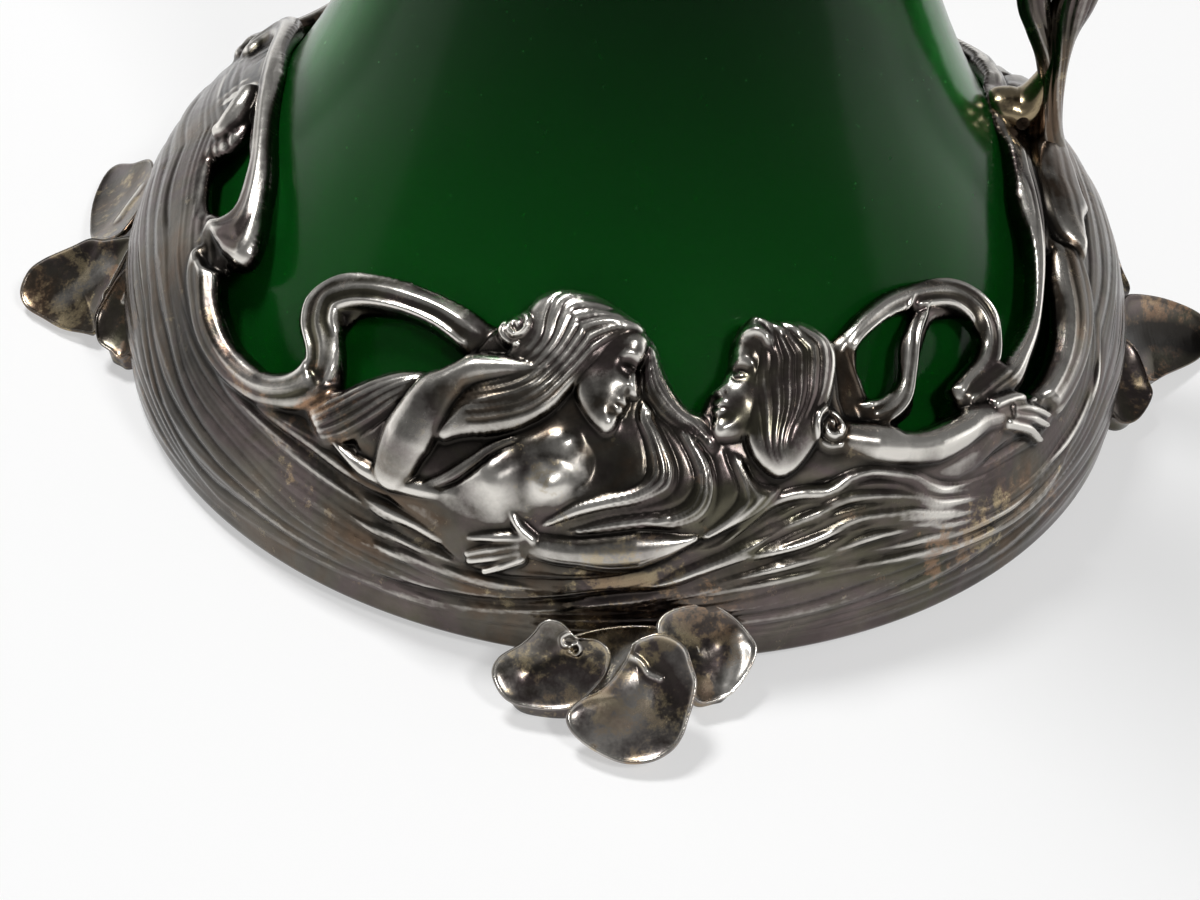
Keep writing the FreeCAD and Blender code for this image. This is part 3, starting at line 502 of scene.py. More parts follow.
LEFT_EYE = (
    (340, 389), (340, 369), (340, 350), (339, 333), (346, 322), (359, 314), (379, 314),
    (407, 319), (434, 333), (457, 350), (468, 362), (447, 374), (430, 371), (400, 369),
    (380, 374), (360, 381),
)
RIGHT_EYE = (
    (914, 310), (890, 318), (870, 335), (862, 346), (861, 366), (866, 379), (873, 396),
    (884, 396), (898, 385), (901, 371), (902, 343), (909, 324),
)
RIGHT_SECOND_EYE = (
    (934, 324), (948, 316), (965, 316), (977, 327), (982, 340), (977, 357), (965, 371),
    (954, 385), (954, 393), (960, 412), (940, 423), (918, 431), (904, 431), (901, 426),
    (915, 410), (920, 379), (925, 350),
)
STRAP_SLIT = (
    (1052, 250), (1055, 278), (1060, 306), (1060, 342), (1052, 369), (1041, 388),
    (1030, 398), (1020, 398), (1028, 381), (1037, 358), (1045, 328), (1049, 292), (1049, 268),
)
SPOUT_SIDE_EYE = (
    (248, 120), (243, 172), (233, 200), (223, 214), (212, 211), (204, 207), (202, 194),
    (205, 167), (208, 156), (214, 152), (225, 146), (237, 135),
)


def heights_to_lengths(points):
    return np.array([(azimuth, MERIDIAN.at_height(height)) for azimuth, height in points])


def open_hole(pixels):
    spot, depth = RELIEF.within(area(pixels), HOLE_REACH)
    RELIEF.cover[spot] = np.minimum(RELIEF.cover[spot], -depth)


def lay_cover():
    """Where the mount has metal: under the top outline, apart from the openings."""
    top = np.vstack([
        smooth_line(part, AREA_FINER) for part in (
            heights_to_lengths(SPOUT_SIDE_END), *[on_mount(edge) for edge in TOP_EDGES],
            heights_to_lengths(HANDLE_SIDE_END),
        )
    ])
    outline = np.vstack([
        [(-180 - PAST_SHEET, top[0, 1])], top,
        [(PAST_SHEET, top[-1, 1]), (PAST_SHEET, -PAST_SHEET), (-180 - PAST_SHEET, -PAST_SHEET)],
    ])
    _, RELIEF.cover = RELIEF.within(outline, COVER_REACH)
    for hole in (LEFT_EYE, RIGHT_EYE, RIGHT_SECOND_EYE, STRAP_SLIT):
        open_hole(hole)
    RELIEF.back_cover = RELIEF.cover.copy()
    open_hole(SPOUT_SIDE_EYE)


# The waves of hair round the foot of the mount

WALL_LENGTH = 3.5
# Azimuth, and the height up to which the strands fan out
FAN = (
    (-180.0, 44.0), (-165.0, 40.0), (-155.0, 36.0), (-142.0, 31.0), (-130.0, 32.0),
    (-118.0, 35.0), (-108.0, 27.0), (-98.0, 21.5), (-88.0, 22.5), (-78.0, 29.0),
    (-66.0, 33.0), (-52.0, 31.0), (-40.0, 34.0), (-28.0, 37.0), (-14.0, 41.0), (0.0, 44.0),
)
# Lines that the strands follow, from the rim up, with the strands below each
GUIDES = (
    (3, ((140, 330), (165, 420), (215, 495), (300, 562), (400, 602), (520, 622), (640, 628),
         (760, 625), (860, 600), (950, 562), (1030, 510), (1080, 450), (1105, 395))),
    (4, ((168, 250), (172, 310), (190, 380), (240, 450), (300, 510), (380, 560), (460, 595),
         (560, 604), (660, 596), (740, 572), (820, 550), (900, 533), (980, 508), (1040, 468),
         (1080, 410), (1092, 350), (1085, 300))),
    (4, ((182, 300), (196, 345), (225, 395), (270, 440), (330, 485), (390, 525), (440, 556),
         (500, 585), (600, 590), (690, 565), (760, 540), (830, 510), (900, 497), (960, 500),
         (1020, 470), (1060, 420), (1082, 360), (1078, 300))),
    (3, ((205, 330), (225, 372), (262, 405), (310, 440), (350, 470), (400, 497), (440, 520),
         (500, 570), (600, 578), (690, 553), (732, 532), (771, 499), (796, 492), (821, 491),
         (857, 472), (879, 470), (923, 481), (962, 482), (1010, 460), (1050, 430),
         (1075, 385), (1078, 330), (1070, 270))),
)
TOP_STRANDS = 4
STRAND_HEIGHT = 0.8
# Least and greatest share of the fan's height for a guide, and the gap between two
GUIDE_LOW, GUIDE_HIGH, GUIDE_GAP = 0.05, 0.95, 0.06
# Waver of the strands: size, waves round the mount, change from strand to strand
WAVER = ((0.16, 6.3, 1.3), (0.1, 15, 2.1))
# Most height for its width, and the least climb of the count of strands
STRAND_STEEP, LEAST_CLIMB = 0.3, 0.02
# Share of the height that never fades, and the level of a strand that lies at the skin
STRAND_LEAST, STRAND_HALF = 0.35, 0.5
# How much of a strand's height comes and goes, with its waves and change as above
STRAND_FADE = (0.4, 9, 2.4)
# The strands start this far under the wall's top and are full this far above that
STRANDS_START = (1.0, 3.0)
# The grain on the strands: height, lines to a strand, sway and waves round the mount
GRAIN = (0.035, 6.3, 2, 11)


def lay_strands():
    """Long strands that follow the rim and the guides and fan out where the mount is tall."""
    fan = heights_to_lengths(FAN)
    span = np.interp(RELIEF.azimuth, fan[:, 0], fan[:, 1]) - WALL_LENGTH
    shares, phases = [np.zeros_like(span)], [0]
    for count, pixels in GUIDES:
        line = trace(pixels)
        line = line[np.argsort(line[:, 0])]
        column = np.interp(line[:, 0], RELIEF.azimuth, np.arange(len(span))).astype(int)
        share = np.clip((line[:, 1] - WALL_LENGTH) / span[column], GUIDE_LOW, GUIDE_HIGH)
        share = np.interp(RELIEF.azimuth, line[:, 0], share)
        shares.append(np.maximum(share, shares[-1] + GUIDE_GAP))
        phases.append(phases[-1] + count)
    shares.append(np.maximum(shares[-1] + GUIDE_GAP, 1))
    phases.append(phases[-1] + TOP_STRANDS)
    phase = np.column_stack([
        np.interp((RELIEF.length - WALL_LENGTH) / tall, marks, phases)
        for tall, marks in zip(span, np.transpose(shares))
    ])
    turn = np.radians(RELIEF.azimuth)
    phase += sum(size * np.sin(waves * turn + change * phase) for size, waves, change in WAVER)
    spacing = LENGTH_STEP / np.maximum(np.gradient(phase, axis=0), LEAST_CLIMB)
    tall = np.clip(STRAND_STEEP * spacing, 0, STRAND_HEIGHT)
    weak, waves, change = STRAND_FADE
    fade = (1 - weak) + weak * np.sin(waves * turn + change * np.floor(phase))
    low, above = STRANDS_START
    there = ease((RELIEF.length[:, None] - WALL_LENGTH + low) / above)
    share = STRAND_LEAST + (1 - STRAND_LEAST) * fade
    RELIEF.rise += there * tall * share * (strand_waves(phase) - STRAND_HALF)
    height, lines, sway, waves = GRAIN
    grain = np.sin(2 * math.pi * lines * phase + sway * np.sin(waves * turn))
    RELIEF.rise += there * height * grain * ease(spacing / above)


# Single waves: their line, half width and height
WAVES = (
    (((690, 552), (720, 545), (751, 517), (771, 500), (796, 492), (825, 490), (850, 475),
      (879, 470), (905, 474), (930, 484), (950, 487), (985, 478)), 1.2, 1.1),
    (((765, 529), (795, 507), (825, 500), (853, 485), (893, 483), (935, 492), (985, 487)),
     0.8, 0.6),
    (((751, 546), (785, 528), (815, 514), (851, 497), (904, 495), (940, 502), (990, 496)),
     1.1, 0.9),
    (((740, 559), (800, 532), (850, 511), (895, 504), (940, 509), (990, 503)), 0.8, 0.6),
    (((700, 572), (751, 556), (807, 541), (857, 518), (904, 513), (940, 515), (995, 508)),
     1.1, 0.9),
    (((760, 563), (815, 549), (865, 527), (905, 522), (946, 524), (1000, 512)), 0.8, 0.5),
    (((720, 583), (775, 567), (834, 550), (880, 534), (930, 528)), 1.0, 0.7),
    (((860, 552), (920, 541), (975, 525), (1020, 500), (1050, 465)), 0.9, 0.5),
    (((840, 570), (900, 558), (960, 543), (1010, 520), (1052, 480), (1075, 430)), 1.0, 0.6),
    (((640, 593), (696, 571), (737, 554), (780, 530)), 1.2, 0.7),
    (((660, 602), (720, 590), (780, 578), (850, 560)), 0.9, 0.5),
    (((355, 492), (385, 510), (415, 522), (445, 539), (470, 549)), 1.4, 1.0),
    (((340, 508), (372, 527), (405, 541), (440, 556), (480, 568)), 0.9, 0.6),
    (((340, 525), (365, 542), (420, 560), (480, 580), (560, 592)), 1.2, 0.6),
    (((340, 560), (400, 585), (460, 600), (520, 605), (600, 598), (660, 590), (700, 575)),
     1.3, -0.7),
    (((232, 370), (262, 405), (310, 440), (350, 470), (400, 495), (440, 506)), 1.3, 0.7),
    (((400, 489), (420, 497), (445, 504), (470, 506)), 1.4, 0.8),
    (((205, 330), (225, 380), (270, 430), (330, 480), (390, 520)), 1.2, 0.5),
    (((262, 388), (300, 402), (330, 410), (352, 425)), 1.1, 0.6),
    (((1040, 470), (1075, 425), (1094, 380), (1100, 340)), 1.2, 0.6),
)
# Shares of its length over which a wave rises at its start and falls at its end
WAVE_ENDS = (0.15, 0.15)


def lay_waves():
    for pixels, width, height in WAVES:
        ridge(trace(pixels), width, height, WAVE_ENDS)


# Ribbons: the centre line, and half widths along it

RIBBONS = (
    (((300, 395), (316, 376), (320, 350), (315, 325), (322, 302), (345, 292), (375, 292),
      (408, 300), (440, 313), (468, 332), (485, 346)), (1.5, 2.9, 3.1, 2.9, 2.8, 3.0, 3.2)),
    (((850, 365), (848, 346), (868, 322), (898, 302), (930, 294), (958, 296), (982, 312),
      (992, 336), (988, 362), (970, 384), (962, 404), (948, 420)),
     (2.0, 2.4, 2.6, 2.6, 2.6, 2.4, 2.0)),
    (((925, 300), (914, 335), (910, 372), (904, 398), (888, 414), (862, 424)),
     (1.8, 1.6, 1.6, 1.9, 2.2)),
)
RIBBON_RISE, RIBBON_FLAT = 1.5, 0.55
# The raised lines of a ribbon: place from its middle to its side, width and rise
RIBBON_LINES = ((0.8, 0.13, 0.45), (0, 0.2, 0.22))
# Where a ribbon ends beside its line, and over which share of its width it falls
RIBBON_OUTSIDE, RIBBON_SIDE = 1.15, 0.2
# Straps and rolls of hair: guide lines, strands, height, depth of their creases
STRAPS = (
    (((262, 45), (254, 83), (251, 111), (248, 139), (246, 161), (240, 183), (232, 206),
      (221, 217), (209, 219), (199, 230), (189, 248)),
     ((284, 38), (279, 70), (273, 111), (270, 139), (269, 172), (265, 200), (259, 231),
      (252, 252), (243, 263), (232, 267), (221, 262), (212, 254), (204, 250)), 3, 1.5, 0.4),
    (((207, 246), (197, 246), (188, 253), (183, 268), (182, 285), (185, 306), (193, 340),
      (208, 368), (230, 392), (256, 408), (290, 414), (318, 408), (336, 392)),
     ((221, 261), (219, 272), (219, 287), (219, 295), (219, 302), (224, 325), (238, 350),
      (254, 365), (274, 374), (292, 369), (301, 355), (302, 335), (298, 318)), 3, 1.7, 0.45),
    (((1002, 118), (1002, 142), (1006, 165), (1015, 185), (1023, 210), (1031, 240),
      (1034, 278), (1030, 319), (1013, 353), (992, 372), (972, 390), (955, 408)),
     ((1026, 118), (1029, 140), (1036, 165), (1044, 192), (1049, 222), (1050, 250),
      (1049, 290), (1044, 330), (1034, 362), (1024, 388), (1003, 405), (980, 420)),
     4, 1.3, 0.4),
    (((1052, 236), (1062, 278), (1069, 310), (1068, 342), (1060, 370), (1045, 395)),
     ((1088, 262), (1096, 292), (1098, 325), (1092, 360), (1078, 395), (1058, 425)),
     3, 1.2, 0.35),
    (((1030, 122), (1036, 165), (1043, 190), (1052, 218), (1063, 240), (1078, 258), (1092, 268)),
     ((1064, 128), (1070, 160), (1078, 185), (1085, 205), (1091, 221), (1094, 245), (1095, 267)),
     2, 2.8, 0.3),
)
STRAP_KNOB = ((1010, 157), 1.9, 2.4)
# A bud by the spout side, on the front only
BUD = ((252, 86), (245, 99), (235, 114), (222, 129), (214, 134))
BUD_WIDTHS, BUD_HEIGHTS = (1.1, 2.1, 2.4, 2.1, 1.2), (1.9, 2.3, 2.5, 2.3, 1.8)


def lay_ribbons():
    """Ribbons with a raised lip on each side and a line along the middle, and straps."""
    for pixels, widths in RIBBONS:
        spot, away, share = RELIEF.near(trace(pixels, LOW), max(widths) + 1)
        across = away / np.interp(share, np.linspace(0, 1, len(widths)), widths)
        top = RIBBON_FLAT + sum(
            rise * np.exp(-((across - place) / width) ** 2) for place, width, rise in RIBBON_LINES
        )
        hold = ease((RIBBON_OUTSIDE - across) / RIBBON_SIDE) * fading_ends(share, RIBBON_FADE)
        RELIEF.rise[spot] += hold * (RIBBON_RISE * top - RELIEF.rise[spot])
    for strap in STRAPS:
        sheaf(*strap, LOW)
    dome(*STRAP_KNOB, LOW)


# Maidens

LEFT_HAIR = (
    (517, 330), (530, 311), (540, 300), (557, 294), (577, 294), (602, 301), (627, 317),
    (649, 335), (645, 342), (634, 348), (615, 360), (600, 375), (582, 390), (565, 407),
    (550, 422), (530, 434), (512, 441), (490, 445), (462, 446), (440, 450), (434, 440),
    (448, 412), (468, 388), (495, 372), (510, 360),
)
LEFT_SWEEP = (
    ((649, 333), (625, 315), (600, 303), (572, 297), (548, 306), (537, 328), (532, 350),
     (515, 366), (485, 376), (455, 384), (438, 392)),
    ((650, 338), (620, 354), (600, 371), (585, 387), (570, 403), (553, 421), (530, 435),
     (505, 442), (480, 445), (455, 443), (432, 442)),
)
# Coils of hair: their pixel and radius
LEFT_ROSETTE, RIGHT_ROSETTE = ((513, 342), 2.9), ((834, 441), 3.0)
COIL_TURNS, COIL_STEPS, COIL_START = 1.8, 60, 0.1
# The mound under a coil, how far it is sunk, and the coil's half width, height and ends
COIL_GROUND, COIL_SUNK = 1.3, 0.1
COIL_RIDGE = (0.6, 1.1, (0.6, 0.8))
# Mounds under the forms: height, edge, level and fullness
GROUND_MOUND = (1.5, 6.0)
TORSO_MOUND = (1.9, 5.5, 0.1)
LEFT_HAIR_MOUND, RIGHT_HAIR_MOUND = (2.2, 7.0, 2.5, 0.7), (2.2, 5.5, 2.4, 0.7)
FACE_EDGE, FACE_FULL = 3.6, 0.45
# Strands of the hair, depth of the creases between them and how far they waver
LEFT_LOCKS, RIGHT_LOCKS = (8, 0.5, 0.4), (8, 0.42, 0.5)
FRINGE_RIDGE = (0.75, 0.6, (0.4, 0.4))
FEATURE_ENDS = (0.3, 0.3)
RIGHT_HAIR = (
    (732, 343), (747, 320), (765, 324), (793, 324), (812, 330), (829, 345), (835, 360),
    (837, 379), (833, 402), (826, 425), (818, 450), (806, 468), (793, 481), (780, 486),
    (766, 481), (753, 468), (746, 450), (744, 427), (746, 399), (752, 377), (744, 362),
)
RIGHT_SWEEP = (
    ((750, 343), (754, 365), (749, 395), (747, 425), (750, 448), (758, 466), (769, 478),
     (781, 483)),
    ((806, 330), (827, 346), (834, 362), (835, 380), (831, 402), (824, 424), (815, 447),
     (799, 472)),
)
RIGHT_FRINGE = (
    ((734, 345), (742, 328), (752, 325), (762, 333), (768, 345)),
    ((748, 326), (760, 328), (772, 338), (780, 350)),
    ((760, 325), (776, 330), (788, 340), (795, 352)),
    ((738, 345), (752, 344), (762, 352), (769, 366)),
)
# Figures stand on a low swelling of the mount
GROUNDS = (
    ((352, 392), (400, 372), (450, 372), (500, 330), (560, 297), (648, 336), (668, 377),
     (704, 412), (722, 455), (722, 500), (700, 545), (640, 575), (560, 582), (470, 572),
     (420, 530), (375, 490), (350, 440)),
    ((708, 398), (735, 345), (765, 325), (829, 345), (846, 420), (900, 432), (960, 414),
     (1030, 402), (1050, 425), (1010, 445), (960, 482), (880, 474), (800, 492), (750, 515),
     (705, 545), (690, 500), (690, 450)),
)
# Limbs: line, half widths, heights and, for the one that lies over the hair, its level
LIMB_LEVEL, LIMB_FULL, LIMB_CREASE = 0.3, 0.6, 0.9
LIMB_CREASE_FORM = (-0.35, (0.4, 0.4), 0.5)
FINGER_FORM = ((1.15, 0.95, 0.6), (2.4, 2.4, 1.6), 0.3)
ELBOW_LOCK_FORM = ((0.3, 1.4, 1.7, 1.5, 0.7), (0.9, 2.2, 2.7, 2.1, 1.3), 0.2)
ARM_RAISED = (
    ((392, 476), (402, 452), (418, 428), (438, 402), (462, 385), (500, 382), (548, 384)),
    (3.0, 3.9, 3.8, 3.3, 2.5, 1.9, 1.1), (2.0, 3.0, 3.2, 3.2, 3.2, 3.0, 2.4), 1.8,
)
ELBOW_LOCK = ((326, 448), (362, 475), (402, 490), (440, 500), (480, 506))
ARM_LOW = (
    ((696, 546), (672, 551), (640, 556), (600, 559), (560, 557), (535, 552), (518, 550)),
    (0.6, 2.1, 3.1, 3.0, 2.4, 2.3, 2.4), (1.3, 2.1, 2.6, 2.6, 2.3, 2.3, 2.0),
)
FINGERS_LOW = (
    ((532, 545), (517, 530), (506, 509)), ((522, 542), (495, 542), (467, 543)),
    ((518, 549), (490, 553), (465, 559)), ((518, 556), (492, 561), (467, 566)),
    ((520, 563), (500, 570), (482, 577)),
)
ARM_RIGHT = (
    ((846, 446), (878, 451), (910, 453), (940, 449), (965, 438), (990, 425), (1014, 419)),
    (2.4, 2.9, 2.8, 3.2, 2.9, 2.2, 2.3), (2.0, 2.7, 2.5, 2.9, 2.5, 2.1, 2.0),
)
FINGERS_RIGHT = (
    ((998, 412), (1018, 405), (1044, 404)), ((1014, 415), (1034, 414), (1053, 420)),
    ((1014, 422), (1034, 424), (1052, 430)), ((1010, 429), (1030, 434), (1045, 445)),
)
TORSO = (
    (425, 480), (450, 462), (480, 450), (510, 438), (545, 424), (580, 424), (598, 442),
    (608, 462), (602, 490), (580, 505), (556, 516), (535, 530), (505, 540), (470, 536),
    (440, 520), (415, 498),
)
SWELLS = (
    # pixel, radius, height
    ((492, 484), 5.4, 1.7), ((547, 491), 4.2, 1.4), ((455, 500), 5.0, 0.6),
    ((560, 448), 3.4, 0.6), ((530, 460), 5.0, 0.5), ((598, 474), 5.5, -0.9),
    ((500, 515), 4.0, 0.3),
)
FALLS = (
    # Sheaves of hair: guide lines, strands, height, depth of their creases
    (((296, 414), (332, 393), (365, 379), (400, 372), (430, 374), (452, 376)),
     ((306, 452), (340, 450), (372, 434), (398, 414), (422, 399), (446, 388)), 7, 1.5, 0.6),
    (((647, 345), (640, 372), (640, 400), (655, 425), (680, 445), (716, 468)),
     ((658, 352), (668, 380), (690, 410), (705, 422), (722, 448), (732, 474)), 7, 1.9, 0.5),
    (((640, 402), (634, 425), (642, 450), (645, 478), (632, 492), (600, 500), (570, 508),
      (536, 530)),
     ((655, 425), (668, 447), (680, 476), (674, 500), (645, 511), (605, 517), (575, 524),
      (538, 533)), 5, 2.2, 0.6),
    (((662, 430), (680, 452), (692, 478), (690, 498), (672, 512), (640, 517), (605, 522),
      (560, 535)),
     ((700, 448), (714, 470), (719, 500), (708, 524), (680, 536), (640, 537), (600, 541),
      (562, 538)), 5, 2.0, 0.55),
    (((400, 493), (435, 478), (465, 462), (490, 448), (520, 440)),
     ((401, 496), (445, 492), (475, 476), (500, 458), (528, 446)), 2, 2.2, 0.5),
    (((722, 455), (730, 475), (738, 498), (725, 520), (698, 544)),
     ((748, 470), (760, 488), (785, 494), (760, 520), (701, 547)), 4, 1.8, 0.45),
)
# A profile by the usual thirds: forward and up, as shares from the chin to the hairline
PROFILE = (
    (-0.42, 1.02), (-0.12, 1.04), (0.0, 0.98), (0.035, 0.86), (0.04, 0.76), (0.015, 0.67),
    (0.06, 0.56), (0.125, 0.455), (0.115, 0.42), (0.055, 0.385), (0.062, 0.35),
    (0.08, 0.315), (0.055, 0.285), (0.075, 0.25), (0.045, 0.2), (0.05, 0.14), (0.04, 0.06),
    (-0.02, 0.0), (-0.14, 0.02), (-0.3, 0.1), (-0.44, 0.24), (-0.5, 0.5),
)
# Lines of the face: the same shares, half width in millimetres, and height
FEATURES = (
    (((0.02, 0.73), (-0.05, 0.755), (-0.13, 0.74), (-0.2, 0.7)), 0.8, 0.28),
    (((-0.01, 0.655), (-0.07, 0.675), (-0.15, 0.64)), 0.5, -0.3),
    (((-0.02, 0.62), (-0.07, 0.615), (-0.13, 0.63)), 0.55, 0.3),
    (((-0.01, 0.59), (-0.07, 0.575), (-0.14, 0.6)), 0.4, -0.16),
    (((0.01, 0.66), (0.045, 0.55), (0.09, 0.455)), 1.0, 0.45),
    (((0.03, 0.41), (0.015, 0.44), (0.03, 0.475)), 0.45, -0.3),
    (((0.06, 0.29), (0.01, 0.295), (-0.04, 0.283)), 0.4, -0.35),
    (((0.065, 0.322), (0.01, 0.325), (-0.035, 0.3)), 0.55, 0.25),
    (((0.06, 0.25), (0.01, 0.252), (-0.03, 0.275)), 0.55, 0.22),
)
# Soft forms of the face: share forward and up, radius in millimetres, and height
FACE_FORMS = (
    ((-0.06, 0.64), 2.2, -0.45), ((-0.16, 0.42), 3.2, 0.35), ((0.0, 0.1), 1.8, 0.3),
    ((-0.1, 0.88), 3.4, 0.3), ((-0.03, 0.2), 1.4, -0.15), ((-0.36, 0.3), 3.5, 0.25),
)
FACES = (
    # chin, hairline, facing (1 right, -1 left), height, level
    ((606, 446), (650, 348), 1, 1.9, 1.5),
    ((715, 450), (741, 346), -1, 1.8, 1.4),
)


def face_points(chin, hairline, facing, shares):
    """Pixels of points given as shares of a face from its chin to its hairline."""
    chin, hairline = np.array(chin, float), np.array(hairline, float)
    up = hairline - chin
    forward = np.array([-up[1], up[0]]) * facing
    return [tuple(chin + forward * ahead + up * above) for ahead, above in shares]


def lay_face(chin, hairline, facing, height, level):
    outline = area(face_points(chin, hairline, facing, PROFILE), HIGH)
    mound(outline, height, FACE_EDGE, level, FACE_FULL)
    for share, radius, rise in FACE_FORMS:
        dome(face_points(chin, hairline, facing, [share])[0], radius, rise, HIGH)
    for shares, width, rise in FEATURES:
        ridge(trace(face_points(chin, hairline, facing, shares), HIGH), width, rise, FEATURE_ENDS)


def lay_rosette(pixel, radius):
    """A small coil of hair."""
    middle = on_mount([pixel], TOP)[0]
    steps = np.linspace(0, 1, COIL_STEPS)
    angle = 2 * math.pi * COIL_TURNS * steps
    around = np.degrees(1 / MERIDIAN.read(MERIDIAN.out, middle[1]))
    spread = radius * (COIL_START + (1 - COIL_START) * steps)
    line = np.column_stack([
        middle[0] + np.cos(angle) * spread * around, middle[1] + np.sin(angle) * spread,
    ])
    ground = np.median(RELIEF.rise[RELIEF.near(middle[None].repeat(2, 0), 1.0)[0]])
    mound(line[-COIL_STEPS // 2:], COIL_GROUND, radius, ground - COIL_SUNK)
    ridge(line, *COIL_RIDGE)


def limb(pixels, widths, heights, level=LIMB_LEVEL):
    """A rounded limb with a shallow crease along both sides."""
    line = trace(pixels, HIGH)
    ridge(line, max(widths) + LIMB_CREASE, *LIMB_CREASE_FORM)
    body(line, widths, heights, level, LIMB_FULL)


def lay_maidens():
    for pixels in GROUNDS:
        mound(area(pixels, LOW), *GROUND_MOUND)
    mound(area(TORSO, LOW), *TORSO_MOUND)
    for swell_form in SWELLS:
        dome(*swell_form)
    for fall in FALLS:
        sheaf(*fall)
    for face in FACES:
        lay_face(*face)
    for hair, hair_mound, sweep, locks in (
        (LEFT_HAIR, LEFT_HAIR_MOUND, LEFT_SWEEP, LEFT_LOCKS),
        (RIGHT_HAIR, RIGHT_HAIR_MOUND, RIGHT_SWEEP, RIGHT_LOCKS),
    ):
        mound(area(hair, HIGH), *hair_mound)
        engrave(*sweep, *locks)
    for pixels in RIGHT_FRINGE:
        ridge(trace(pixels, HIGH), *FRINGE_RIDGE)
    limb(*ARM_RAISED)
    body(trace(ELBOW_LOCK, HIGH), *ELBOW_LOCK_FORM)
    for arm, fingers in ((ARM_LOW, FINGERS_LOW), (ARM_RIGHT, FINGERS_RIGHT)):
        limb(*arm)
        for finger in fingers:
            body(trace(finger, HIGH), *FINGER_FORM)
    lay_rosette(*LEFT_ROSETTE)
    lay_rosette(*RIGHT_ROSETTE)


def softened(field, reach):
    """A field averaged over about reach millimetres each way."""
    half = max(1, round(reach / LENGTH_STEP))
    for _ in range(4):
        padded = np.pad(field, ((half + 1, half), (0, 0)), "edge").cumsum(0)
        field = ((padded[2 * half + 1:] - padded[:-2 * half - 1]) / (2 * half + 1)).T
    return field


# Where the plate is worn to a golden tone, and where painted highlights and painted shade
# lighten or darken it: a pixel, the radius of the spot and the amount
GILT_SPOTS = (
    ((610, 585), 12.0, 0.6), ((520, 600), 9.0, 0.5), ((680, 585), 9.0, 0.5),
    ((620, 558), 7.0, 0.4), ((980, 530), 10.0, 0.9), ((930, 560), 9.0, 0.7),
    ((545, 480), 8.0, 0.5), ((290, 470), 10.0, 0.3), ((1060, 470), 9.0, 0.3),
)
# Painted highlights (above 0) and painted shade (below 0) on the relief's colour
PAINTED_LIGHT_SPOTS = (
    ((560, 480), 9.0, 0.32), ((500, 500), 8.0, 0.3), ((940, 515), 10.0, 0.26),
    ((890, 452), 6.0, 0.25), ((952, 442), 6.0, 0.3), ((392, 400), 8.0, 0.14),
    ((420, 500), 9.0, 0.15), ((560, 340), 12.0, 0.2), ((415, 430), 6.0, 0.12),
    ((620, 400), 7.0, 0.1), ((220, 300), 22.0, -0.26), ((170, 420), 28.0, -0.32),
    ((260, 150), 16.0, -0.1), ((1080, 300), 20.0, -0.1),
)


def lay_spots():
    # Lays the golden spots, and the spots of painted highlight and painted shade
    for field, spots in ((RELIEF.gilt, GILT_SPOTS), (RELIEF.tone_shift, PAINTED_LIGHT_SPOTS)):
        for pixel, radius, amount in spots:
            window, share = round_spot(pixel, radius, 0.0)
            field[window] += amount * share


SOFTENING = 0.8
EDGE_SOFT, EDGE_DROP = 2.4, 1.7
# How bright the plate is worn for each millimetre over its neighbourhood, and the reach
# of that neighbourhood
WEAR = ((1.2, 0.75), (0.16, 2.5))


def rounded_edges(rise, cover):
    """The relief, slightly softened and rounded off towards the edges of the metal."""
    rise = (1 - SOFTENING) * rise + SOFTENING * softened(rise, LENGTH_STEP)
    edge = np.clip(1 - cover / EDGE_SOFT, 0, 1)
    return rise - EDGE_DROP * (1 - np.sqrt(1 - edge ** 2))


def lay_relief():
    lay_cover()
    lay_strands()
    lay_waves()
    lay_ribbons()
    lay_maidens()
    back_rise = RELIEF.rise.copy()
    body(trace(BUD, LOW), BUD_WIDTHS, BUD_HEIGHTS)
    lay_spots()
    RELIEF.back_rise = rounded_edges(back_rise, RELIEF.back_cover)
    RELIEF.rise = rounded_edges(RELIEF.rise, RELIEF.cover)
    close, broad = (
        share * (RELIEF.rise - softened(RELIEF.rise, reach)) for share, reach in WEAR
    )
    # Wear by the relief's height, with the spots' painted highlights and painted shade added
    RELIEF.worn = close + broad + RELIEF.tone_shift


# Meshes


def quad_mesh(name, points, quads):
    """A smooth mesh from points in millimetres and four-sided faces."""
    mesh = bpy.data.meshes.new(name)
    mesh.vertices.add(len(points))
    mesh.vertices.foreach_set("co", (points * MM).ravel())
    mesh.loops.add(quads.size)
    mesh.polygons.add(len(quads))
    mesh.loops.foreach_set("vertex_index", quads.ravel().astype(np.int32))
    mesh.polygons.foreach_set("loop_start", np.arange(0, quads.size, 4))
    mesh.polygons.foreach_set("use_smooth", np.ones(len(quads), bool))
    mesh.update(calc_edges=True)
    mesh.validate()
    return mesh


def place_piece(mesh, material, worn, gilt):
    """Puts a mesh into the scene as a piece of silver, with how worn and golden it is; on the
    mount and the feet the worn values also carry painted highlights and painted shade.
    """
    mesh.materials.append(material)
    for name, values in (("worn", worn), ("gilt", gilt)):
        mesh.attributes.new(name, "FLOAT", "POINT").data.foreach_set(
            "value", np.asarray(values, np.float32),
        )
    piece = bpy.data.objects.new(mesh.name, mesh)
    bpy.context.scene.collection.objects.link(piece)
    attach(piece, "vessel")
    return piece


def whole_mount():
    """The relief's fields all round: the front half, and its mirror image behind."""
    back = np.linspace(0, 180, int(180 / BACK_STEP) + 1)[1:-1]
    azimuth = np.concatenate([RELIEF.azimuth, back])
    fields = []
    for front, behind in (
        (RELIEF.rise, RELIEF.back_rise), (RELIEF.cover, RELIEF.back_cover),
        (RELIEF.worn, RELIEF.worn), (RELIEF.gilt, RELIEF.gilt),
    ):
        mirrored = np.array([np.interp(-back[::-1], RELIEF.azimuth, row)[::-1] for row in behind])
        fields.append(np.hstack([front, mirrored]))
    return azimuth, fields


DEPTH_TRIES, DEPTH_STRIDE = 12, 0.7


